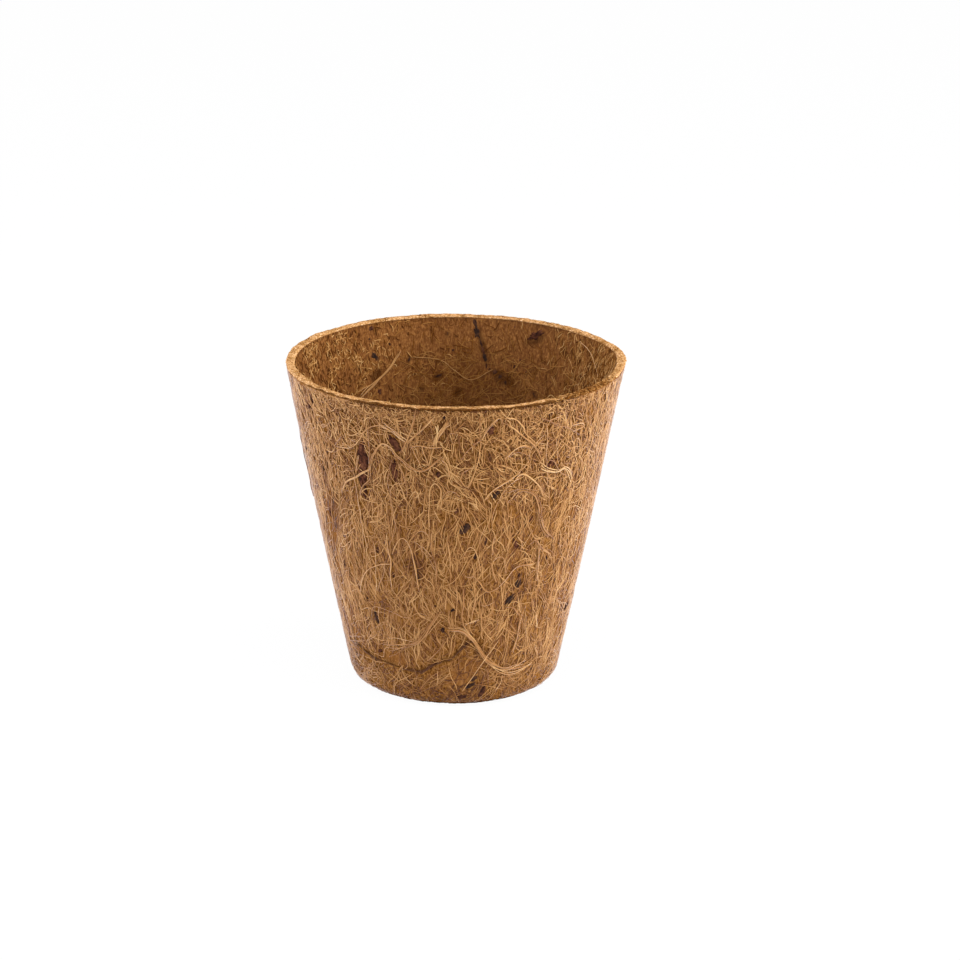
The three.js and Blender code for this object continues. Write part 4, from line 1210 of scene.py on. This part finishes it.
# %% Routes of single fibres
SINGLE, TRIO, BUNDLE = 1, 3, 8
FIBRE_ROUTES = [
    (SINGLE, [(-48.4, 79), (-47.7, 82.1), (-46.9, 83.5), (-44.6, 85.4), (-43.4, 86.6)]),
    (SINGLE, [(-43.1, 86.2), (-41.4, 84.8), (-39, 84.1)]),
    (SINGLE, [(-30.6, 91.5), (-30.7, 87.6), (-31.1, 83.6), (-31.8, 80.1), (-31.7, 77.6), (-32.3, 75),
              (-34.1, 73.5), (-36.2, 71.9), (-37.8, 69.2)]),
    (TRIO, [(-48, 67.7), (-46.2, 70.1), (-43.6, 72.3), (-39.3, 74.2), (-36.1, 76), (-32.3, 78)]),
    (SINGLE, [(-35.8, 82.1), (-36.6, 79.8), (-37.7, 77.4)]),
    (SINGLE, [(-39.5, 78.3), (-39.3, 75.6), (-39.5, 71.4), (-39.3, 68.9)]),
    (SINGLE, [(-22.2, 82.8), (-23.3, 80.2), (-24.7, 76.1), (-24.7, 73.6), (-24, 71.2), (-24.2, 68.7)]),
    (SINGLE, [(-20, 81.6), (-18.8, 78.5), (-17.7, 74.4), (-17.4, 71.4)]),
    (SINGLE, [(-24.4, 71.2), (-23.7, 73.3), (-21.8, 74.9), (-18.8, 75.6)]),
    (TRIO, [(-26, 93.1), (-22.1, 91.9), (-19.5, 90.5), (-17.2, 89)]),
    (SINGLE, [(-24.2, 94.1), (-20.5, 91.6), (-16.3, 89.5)]),
    (TRIO, [(-12.3, 99.8), (-13.6, 95.6), (-15.4, 91.3), (-17.6, 87.5), (-19.5, 84.6)]),
    (SINGLE, [(-41.9, 89.1), (-40.1, 87.5), (-37.5, 86.5), (-35.9, 86.3)]),
    (SINGLE, [(-41.9, 95.4), (-39.6, 93.2), (-37.3, 91.4), (-35, 89.4)]),
    (TRIO, [(-7, 97.2), (-10.1, 94.1), (-13.4, 91), (-17.4, 87.5)]),
    (SINGLE, [(-8.1, 96.7), (-7.7, 93.3), (-6.9, 89.4)]),
    (SINGLE, [(-2.8, 89), (-2.5, 91.2), (-1.5, 92.3), (0.6, 92.2), (1.8, 91.5)]),
    (SINGLE, [(8.2, 97.2), (8.2, 93.8), (8.3, 90.6)]),
    (TRIO, [(8.8, 90.1), (10.3, 92.5), (12.2, 94.8), (14.5, 96.6), (15.5, 96.3), (16, 94.3)]),
    (SINGLE, [(8.6, 90.2), (6.3, 88.7), (4, 86.3), (2.2, 84.1)]),
    (SINGLE, [(6, 81.5), (3.9, 80.4), (2, 79.4)]),
    (TRIO, [(23.8, 78.1), (20.2, 76.5), (16.3, 74.8), (13, 72.8), (11.5, 70.5)]),
    (TRIO, [(24, 77.1), (20.1, 74.8), (18, 72.7), (16.7, 70.2)]),
    (SINGLE, [(-16.7, 70.7), (-15.4, 72.3), (-14.3, 73.1), (-13.4, 72.2), (-12.9, 70.4)]),
    (SINGLE, [(-4.3, 72.2), (-2.1, 73.7), (0.1, 73.5), (1.8, 72)]),
    (SINGLE, [(-4.5, 83.9), (-3.1, 82.9), (-2.3, 81.2), (-2, 78.9)]),
    (SINGLE, [(-15.2, 87.4), (-12.2, 88), (-8.3, 87.6), (-4.6, 87.8)]),
    (SINGLE, [(-14.7, 87.5), (-13.7, 84.8), (-12.2, 82.2), (-11.2, 80.3)]),
    (SINGLE, [(-11.2, 87.7), (-10.2, 84.3), (-9, 81.4)]),
    (TRIO, [(16.6, 95), (20.5, 92.5), (24.5, 89.6), (28.1, 86.7), (31, 83.6)]),
    (SINGLE, [(31.9, 89.8), (28.1, 86.9), (26.8, 84.9), (26.6, 82.5)]),
    (TRIO, [(17.5, 83.9), (19.3, 85), (21.7, 86.5), (24.5, 86.9), (27.9, 85.9)]),
    (SINGLE, [(19.1, 84), (21, 85.1), (23.3, 85.1), (26.4, 83.7)]),
    (SINGLE, [(34.7, 81.1), (37.6, 80.1), (39.9, 77.7), (42.3, 75.5), (45.9, 74.1)]),
    (SINGLE, [(40.2, 77.9), (42, 80.1), (43.8, 81.9), (45.8, 83)]),
    (SINGLE, [(29.9, 95.2), (33.4, 93.7), (37.4, 91.6), (41, 90.6), (45.1, 88.5), (48.9, 86.5)]),
    (SINGLE, [(33.4, 94), (37.1, 94.6)]),
    (SINGLE, [(44.8, 88.6), (49.1, 88.7), (50.7, 89.1), (48.6, 90.2), (43.9, 90.5)]),
    (SINGLE, [(39.4, 96.1), (40.4, 93.3), (41.7, 90.4)]),
    (SINGLE, [(32.2, 93), (33, 89.2), (33.6, 83.4), (34.9, 78.3), (36.4, 72.1)]),
    (SINGLE, [(37.5, 87.2), (38.5, 82.7), (40, 78.9)]),
    (TRIO, [(22.2, 76.5), (23.9, 77.6), (26, 77.5), (29.1, 75.7), (32.9, 72.7), (34.8, 69.9)]),
    (SINGLE, [(19.7, 72.3), (23.8, 73.1), (27.9, 72.6), (32.4, 71.5)]),
    (SINGLE, [(47.5, 73.8), (49, 71.8), (49.7, 70.1)]),
    (SINGLE, [(44.4, 86.9), (45.8, 84.7), (47.9, 85.7), (49.9, 83.4), (50.3, 80.8)]),
    (SINGLE, [(26.9, 82.4), (24.8, 79.7), (22.1, 77.8), (18.7, 76.1), (16.5, 74.6)]),
    (SINGLE, [(-34.5, 54.3), (-34.1, 50.3), (-35.4, 42.4), (-36, 37.8)]),
    (TRIO, [(-27.9, 57), (-27.7, 53.8), (-27.3, 51.2), (-27, 48.7), (-28, 44.5), (-28.4, 38.9)]),
    (SINGLE, [(-24.1, 67.8), (-23.4, 62.9), (-23.7, 59.3), (-26.8, 54.6)]),
    (SINGLE, [(-25.9, 51.4), (-23.4, 55.3), (-21.2, 57.1), (-19, 56.2), (-17.4, 52.3), (-16.2, 47.3),
              (-16, 42.2)]),
    (SINGLE, [(-15.6, 58.8), (-13.7, 60.1), (-11.6, 60.1), (-10.1, 58.9)]),
    (SINGLE, [(-29.6, 48.4), (-31.1, 44.1), (-33.8, 40.6), (-35.6, 37.9)]),
    (SINGLE, [(-56.4, 47.5), (-53.9, 46.5), (-52.9, 43.5), (-52.8, 39.7)]),
    (SINGLE, [(-43.6, 50.1), (-43.6, 47.1), (-42.3, 43.8)]),
    (SINGLE, [(-50.6, 64.8), (-52, 60), (-52.7, 56.1)]),
    (SINGLE, [(-46.2, 64.2), (-46.3, 60.7), (-47.3, 56)]),
    (TRIO, [(-9.4, 59.7), (-9.2, 55.4), (-8.1, 51.4), (-7.3, 48.4), (-7.7, 44)]),
    (SINGLE, [(-14.8, 55.1), (-10.3, 51.3), (-7.9, 47.8)]),
    (SINGLE, [(-15.9, 56.5), (-11.7, 54.3), (-8.7, 51.4)]),
    (SINGLE, [(-17.4, 53.6), (-16.6, 48.6), (-16, 43.5), (-15.3, 40.3)]),
    (SINGLE, [(-2.8, 57.2), (-1.9, 52.6), (-1.6, 48)]),
    (SINGLE, [(3.3, 52.1), (5.1, 54.6), (6.6, 55.1), (8.5, 53.7), (9.6, 50.9), (10.8, 47)]),
    (SINGLE, [(15.7, 50), (17.9, 51.4), (20.3, 50.6), (21.2, 48), (21.9, 45.4)]),
    (SINGLE, [(15.1, 49.5), (16.3, 45.9), (17.9, 42.9)]),
    (SINGLE, [(-7.5, 67.1), (-5.3, 63.4)]),
    (TRIO, [(16.1, 58.6), (15.3, 55.1), (14.9, 52.6)]),
    (SINGLE, [(11.7, 62.2), (10.4, 59.2), (9.6, 56.5)]),
    (SINGLE, [(16.2, 69.7), (14.7, 66.3), (14, 63.8)]),
    (SINGLE, [(30.4, 53), (33, 54.8), (34.5, 54.7), (36.4, 53.1), (38.9, 51)]),
    (SINGLE, [(46.7, 47), (48.2, 42.9)]),
    (TRIO, [(27.8, 47.3), (31.1, 47.3), (35, 47)]),
    (SINGLE, [(34, 44.4), (36.4, 44.8)]),
    (SINGLE, [(28.2, 53.3), (30.3, 55.8), (32, 58.4)]),
    (SINGLE, [(25.6, 57.2), (27.7, 54.9), (27.6, 52.9)]),
    (SINGLE, [(48, 51.6), (49.9, 49.2), (51.1, 47.4)]),
    (SINGLE, [(-5.1, 24.3), (-6.1, 21.6), (-8.6, 19.4), (-11, 17.7), (-13.1, 16.3)]),
    (SINGLE, [(-8.4, 12.8), (-8.7, 7.9)]),
    (SINGLE, [(-48.2, 18.5), (-43.7, 20.4), (-40.1, 22.1)]),
    (SINGLE, [(-43.3, 15.2), (-38.3, 14.8), (-36.5, 17.7), (-32.9, 19)]),
    (SINGLE, [(-36.6, 31.8), (-37.4, 28.2), (-35.8, 24.1)]),
    (SINGLE, [(-32.5, 28.7), (-31.3, 26.3), (-31.4, 23.7)]),
    (SINGLE, [(3.5, 31.7), (4.3, 28.8), (6.8, 26.1)]),
    (SINGLE, [(-2.4, 33.8), (-2.4, 30.9), (-1.7, 28.8)]),
    (TRIO, [(4.9, 29.3), (8.1, 29.8), (11.2, 30.6)]),
    (SINGLE, [(1, 42.7), (1.2, 37.5), (1.1, 32.3)]),
    (SINGLE, [(3.6, 41.3), (3.9, 36.2), (3.6, 31.7)]),
    (SINGLE, [(5.7, 36.9), (6.1, 34.3), (6.9, 31.6)]),
    (SINGLE, [(-3.3, 40.6), (-3.7, 37.4), (-4.2, 34.3)]),
    (SINGLE, [(9, 38.4), (8.6, 35.3), (7.9, 32.4)]),
    (TRIO, [(32.9, 24.7), (30.7, 20.8), (29.2, 17.8)]),
    (SINGLE, [(19.1, 30.7), (20.1, 28.8), (19.8, 27)]),
    (SINGLE, [(11.9, 35.6), (13.7, 35.2), (17.4, 36)]),
    (SINGLE, [(16.1, 13.7), (17.6, 11.5), (17.6, 8.8)]),
    (SINGLE, [(13.8, 13.1), (15.6, 11.4), (15, 9.3)]),
    (SINGLE, [(25.5, 10.2), (25.1, 7.6), (22.8, 5.4)]),
    (TRIO, [(33.6, 33.4), (32.4, 29.4), (31.8, 24.8), (31, 20.7), (29.5, 17.8)]),
    (SINGLE, [(35, 29.6), (36.5, 22.1)]),
    (TRIO, [(41, 29.1), (43, 24.4)]),
    (SINGLE, [(24.1, 33.9), (27.2, 33.2), (30.1, 30.8)]),
    (TRIO, [(43.3, 17.8), (47.2, 13.5), (47.9, 9.1), (47.1, 6.6)]),
    (SINGLE, [(56, 16.5), (53.3, 14.9), (52.6, 12.4)]),
    (SINGLE, [(40, 5.7), (43.7, 7.7), (45.4, 10.6)]),
    (SINGLE, [(58.8, 7), (57.1, 4.8), (53.6, 3.1)]),
    (BUNDLE, [(-2.2, 96), (-4.2, 93.5), (-5.9, 91), (-7.2, 88)]),
]
print("routed fibres and groups:", len(FIBRE_ROUTES))


# %% Single fibres from their routes
def route_fibres(rng, rings):
    """Centres, ways out, radii and tones of all routed fibres, each with the same number of rings. A group
    is a little paler than a fibre alone, and a bundle twice as wide."""
    parts = [wind_fibres(rng, OUTER, stops, (0.6 if fibres == BUNDLE else 0.3) * MM, fibres, rings,
                         tone=0.66 + 0.02 * fibres)
             for fibres, stops in FIBRE_ROUTES]
    centres, out, tone = (np.concatenate(part) for part in zip(*parts))
    radii = rng.uniform(0.1, 0.17, len(centres))[:, None] * MM * np.ones(rings)
    return centres, out, radii, tone


fibre_piece("coir_mat_routed", *route_fibres(np.random.default_rng(250), 14), 4, 0.8, glued=0.4)

# %% [markdown]
# ## Husk flakes
# Bits of the husk's dark skin are pressed into the felt. A flake is a torn oval, thin and slightly domed,
# with ridges along its length. It is nearly black, with a red or blue cast, and duller than the fibres. A
# dark spot in the felt's colour would be cheaper, but its edge would cast no shadow, so each flake is a
# mesh.

# %% Husk material
def coconut_husk():
    """Coconut husk skin, torn: very dark brown, from red-brown to near black, with fine ridges."""
    material, tree, shader = start_material("coconut_husk_torn")
    place_of = add_node(tree, "ShaderNodeTexCoord")["Object"]
    patch = add_node(tree, "ShaderNodeTexNoise", inputs={
        "Vector": place_of, "Scale": 1 / (1.2 * MM), "Detail": 3.0, "Roughness": 0.6})["Fac"]
    red = add_node(tree, "ShaderNodeAttribute", {"attribute_name": "red"})["Fac"]
    black_shell = add_node(tree, "ShaderNodeValToRGB", {"stops": [
        (0.3, "#1b1210"), (0.5, "#2e1e16"), (0.75, "#4c3121")]}, {"Fac": patch})["Color"]
    red_skin = add_node(tree, "ShaderNodeValToRGB", {"stops": [
        (0.36, "#231009"), (0.5, "#422215"), (0.66, "#5e3a26")]}, {"Fac": patch})["Color"]
    colour = add_node(tree, "ShaderNodeMix", {"data_type": "RGBA"}, {0: red, 6: black_shell, 7: red_skin})[2]
    bump = add_node(tree, "ShaderNodeBump", inputs={
        "Strength": 0.5, "Distance": 0.15 * MM, "Height": patch})["Normal"]
    tree.links.new(colour, shader.inputs["Base Color"])
    tree.links.new(bump, shader.inputs["Normal"])
    shader.inputs["Roughness"].default_value = 0.85
    shader.inputs["Specular IOR Level"].default_value = 0.06
    return material


HUSK = coconut_husk()
print("husk finish:", HUSK.name)

# %% Flakes as domed surfaces
FLAKE_NICK = 0.14
RIDGE_HEIGHT, RIDGE_WIDTH = 0.08 * MM, 0.5 * MM
FLAKE_SHARES = np.array([0.02, 0.3, 0.55, 0.78, 0.93, 1.0, 0.9, 0.02])[:, None]
FLAKE_DEPTHS = np.array([0, -0.02, -0.05, -0.1, -0.2, -0.45, -0.7, -0.7])[:, None] * MM


def flake_arrays(skin, bearing, rise, lean, width, length, top, seed, around=36):
    """Points of a flake, as rows of rings from the middle of its top, over its torn edge, to the middle of
    its underside. A ring is the outline, an oval whose radius wanders with sines, times the ring's share."""
    angle = np.arange(around) * 2 * math.pi / around
    wander = 1 + FLAKE_NICK * np.sin(3 * angle + width) * np.cos(2 * angle + length)
    wander = wander + 0.16 * np.sin(5 * angle + seed) + 0.12 * np.sin(9 * angle - 2 * seed)
    share = FLAKE_SHARES
    across = share * wander * np.cos(angle) * width * MM / 2
    along = share * wander * np.sin(angle) * length * MM / 2
    tip = math.radians(lean)
    sideways = across * math.cos(tip) + along * math.sin(tip)
    upward = along * math.cos(tip) - across * math.sin(tip)
    run = run_at(skin, rise / 100 * POT_HEIGHT) + upward
    radius = np.interp(run, skin["run"], skin["radius"])
    turns = math.radians(bearing) + sideways / radius * (1 if skin is OUTER else -1)
    grain = np.stack([across * 3, along * 0.6, across * 0 + seed * MM], axis=-1)
    ridge = RIDGE_HEIGHT * soft_noise(grain, RIDGE_WIDTH, 41)
    return place(skin, turns, run, top + FLAKE_DEPTHS + ridge * (share < 1))


def dome_piece(name, rings, red):
    """One piece of husk from rows of closed rings, many flakes at once: (flakes, rings, around, 3), with how
    red each flake is. In the UV map each flake has a cell of its own: its side as a strip, its two caps as
    discs below and above."""
    flakes, rows, around = rings.shape[:3]
    index, _, quads = band_faces(rows, around)
    caps = [np.stack([row[1:-1], row[2:], np.full(around - 2, row[0])], axis=-1)
            for row in (index[0], index[-1, ::-1])]
    triangles = np.concatenate(caps)
    offset = (np.arange(flakes) * rows * around)[:, None, None]
    columns = math.ceil(math.sqrt(flakes))
    cell = np.stack(np.divmod(np.arange(flakes), columns), axis=-1)[:, None]
    row_share = np.arange(rows)[:, None] / rows * 0.8 + 0.1 + np.zeros(around)
    around_share = np.arange(around) / around * np.ones((rows, 1))
    flat = np.stack([around_share, row_share], axis=-1)
    stride = np.array([1 / around, 0.8 / rows])
    quad_uv = np.stack([flat[:-1], flat[:-1] + [0, stride[1]], flat[:-1] + stride,
                        flat[:-1] + [stride[0], 0]], axis=2).reshape(-1, 2)
    spin = np.arange(around) * 2 * math.pi / around
    disc = [np.stack([0.25 + shift + 0.2 * np.cos(spin), centre + 0.04 * np.sin(spin)], axis=-1)
            for shift, centre in ((0.0, 0.05), (0.5, 0.95))]
    cap_uv = [np.stack([ring[1:-1], ring[2:], np.repeat(ring[:1], around - 2, axis=0)], axis=1)
              for ring in (disc[0], disc[1][::-1])]
    corners = [quad_uv, np.concatenate(cap_uv).reshape(-1, 2)]
    uv = np.concatenate([((cell + 0.02 + 0.96 * part[None]) / columns).reshape(-1, 2) for part in corners])
    return build_piece(name, rings.reshape(-1, 3), (quads + offset).reshape(-1, 4),
                       (triangles + offset).reshape(-1, 3), uv, HUSK,
                       {"red": np.repeat(red, rows * around)})


RED_SKINS = ("left_tall", "upper_left", "mid_left", "near_rim", "upper_right", "mid_right", "side_left",
             "back", "inner_right")
FLAKE_TOP, CRUMB_TOP = -0.02 * MM, -0.04 * MM
for skin, flakes in ((OUTER, OUTER_FLAKES), (INNER, INNER_FLAKES)):
    for order, (name, sizes) in enumerate(flakes.items()):
        rings = flake_arrays(skin, *sizes, FLAKE_TOP, order)
        piece = dome_piece("husk_flake_" + name, rings[None], [float(name in RED_SKINS)])
        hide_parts("husk_" + name)

# %% Crumbs of husk
SCATTERED = 70


def scattered_crumbs(rng, count):
    """Places of small crumbs anywhere on a wall: bearing, rise, lean, width and length."""
    return np.stack([rng.uniform(-180, 180, count), rng.uniform(6, 96, count), rng.normal(0, 35, count),
                     rng.uniform(0.4, 0.8, count), rng.uniform(0.7, 2, count)], axis=-1).tolist()


for name, skin, listed, seed in (("husk_crumbs_outer", OUTER, OUTER_CRUMBS, 28),
                                 ("husk_crumbs_inner", INNER, INNER_CRUMBS, 20)):
    crumbs = listed + scattered_crumbs(np.random.default_rng(seed), SCATTERED)
    rings = np.stack([flake_arrays(skin, *sizes, CRUMB_TOP, order, 10) for order, sizes in enumerate(crumbs)])
    dome_piece(name, rings, np.random.default_rng(7).uniform(0, 1, len(crumbs)))

# %% [markdown]
# ## Camera
# The photograph was taken from about a metre away, a little above the rim, with a long lens. The place of
# the pot's axis in the frame and its lean of a fifth of a degree set the camera's shift and roll.

# %% Camera
IMAGE_PIXELS = 960
AXIS_PIXEL = (454.63, 516.7)
FOCAL_PIXELS = 3333
VIEW_DISTANCE = 1.0
VIEW_ELEVATION = math.radians(19.12)
VIEW_ROLL = math.radians(0.209)
SENSOR = 36.0

camera_data = bpy.data.cameras.new("camera")
camera_data.sensor_width = SENSOR
camera_data.lens = FOCAL_PIXELS * SENSOR / IMAGE_PIXELS
camera_data.shift_x = (IMAGE_PIXELS / 2 - AXIS_PIXEL[0]) / IMAGE_PIXELS
camera_data.shift_y = (AXIS_PIXEL[1] - IMAGE_PIXELS / 2) / IMAGE_PIXELS
camera = bpy.data.objects.new("camera", camera_data)
camera.location = (0, -VIEW_DISTANCE * math.cos(VIEW_ELEVATION),
                   POT_HEIGHT / 2 + VIEW_DISTANCE * math.sin(VIEW_ELEVATION))
camera.rotation_mode = "XYZ"
camera.rotation_euler = (math.pi / 2 - VIEW_ELEVATION, 0, 0)
camera.rotation_euler.rotate_axis("Z", VIEW_ROLL)
bpy.context.scene.collection.objects.link(camera)
bpy.context.scene.camera = camera
print("lens in mm:", round(camera_data.lens, 1))

# %% [markdown]
# ## Floor and light
# The pot stands on a white sweep. The camera sees the floor and the world as white, while the pot is lit at
# a plain level by the soft world and three large lamps: one from the right, a weaker and slightly cool one
# from the left, and one overhead that catches the rim. More light would bleach the background too, but it
# would also bleach the fibres, so the white comes from what the camera's rays see. The floor keeps a faint
# shadow.

# %% Floor
FLOOR_HALF = 3.0
CAMERA_WHITE = 0.97


def sees_white(tree):
    """1 for the rays that meet a plain white background: from the camera, off a gloss or through glass."""
    path = add_node(tree, "ShaderNodeLightPath")
    seen = add_node(tree, "ShaderNodeMath", {"operation": "MAXIMUM"}, {
        0: path["Is Camera Ray"], 1: path["Is Glossy Ray"]})["Value"]
    return add_node(tree, "ShaderNodeMath", {"operation": "MAXIMUM"}, {
        0: seen, 1: path["Is Transmission Ray"]})["Value"]


def white_floor():
    """Matt white paper: plain diffuse to the light, and mostly pure white to the camera."""
    material, tree, shader = start_material("white_paper_floor")
    shader.inputs["Base Color"].default_value = linear("#f4f4f4")
    shader.inputs["Roughness"].default_value = 1.0
    seen = add_node(tree, "ShaderNodeMath", {"operation": "MULTIPLY"}, {0: sees_white(tree), 1: CAMERA_WHITE})
    glow = add_node(tree, "ShaderNodeEmission", inputs={"Color": (1, 1, 1, 1), "Strength": 1.0})
    mixed = add_node(tree, "ShaderNodeMixShader", inputs={
        0: seen["Value"], 1: shader.outputs["BSDF"], 2: glow["Emission"]})
    tree.links.new(mixed["Shader"], tree.nodes["Material Output"].inputs["Surface"])
    return material


floor_mesh = bpy.data.meshes.new("floor")
floor_mesh.from_pydata([(-FLOOR_HALF, -FLOOR_HALF, 0), (FLOOR_HALF, -FLOOR_HALF, 0),
                        (FLOOR_HALF, FLOOR_HALF, 0), (-FLOOR_HALF, FLOOR_HALF, 0)], [], [(0, 1, 2, 3)])
floor_mesh.materials.append(white_floor())
floor = bpy.data.objects.new("floor", floor_mesh)
bpy.context.scene.collection.objects.link(floor)

# %% World and lamps
WORLD_LIGHT = 0.485
# Place and size in metres, power in watts, and colour
LAMPS = {
    "lamp_right": ((0.9, -0.3, 0.45), 0.7, 15.9, "#ffffff"),
    "lamp_left": ((-0.9, -0.25, 0.45), 0.7, 10.8, "#eff2ff"),
    "lamp_top": ((0.0, -0.3, 1.1), 0.7, 7.2, "#ffffff"),
}

world = bpy.data.worlds.new("white_studio")
world.use_nodes = True
background = world.node_tree.nodes["Background"]
background.inputs["Color"].default_value = (1, 1, 1, 1)
strength = add_node(world.node_tree, "ShaderNodeMath", {"operation": "MULTIPLY_ADD"}, {
    0: sees_white(world.node_tree), 1: 1 - WORLD_LIGHT, 2: WORLD_LIGHT})
world.node_tree.links.new(strength["Value"], background.inputs["Strength"])
bpy.context.scene.world = world

for name, (location, size, power, colour) in LAMPS.items():
    lamp_data = bpy.data.lights.new(name, "AREA")
    lamp_data.size = size
    lamp_data.energy = power
    lamp_data.color = linear(colour)[:3]
    lamp = bpy.data.objects.new(name, lamp_data)
    lamp.location = location
    away = np.array(location) - np.array([0, 0, POT_HEIGHT / 2])
    tilt = math.acos(away[2] / np.linalg.norm(away))
    lamp.rotation_euler = (tilt, 0, math.atan2(away[1], away[0]) + math.pi / 2)
    bpy.context.scene.collection.objects.link(lamp)
bpy.context.scene.view_settings.view_transform = "Standard"
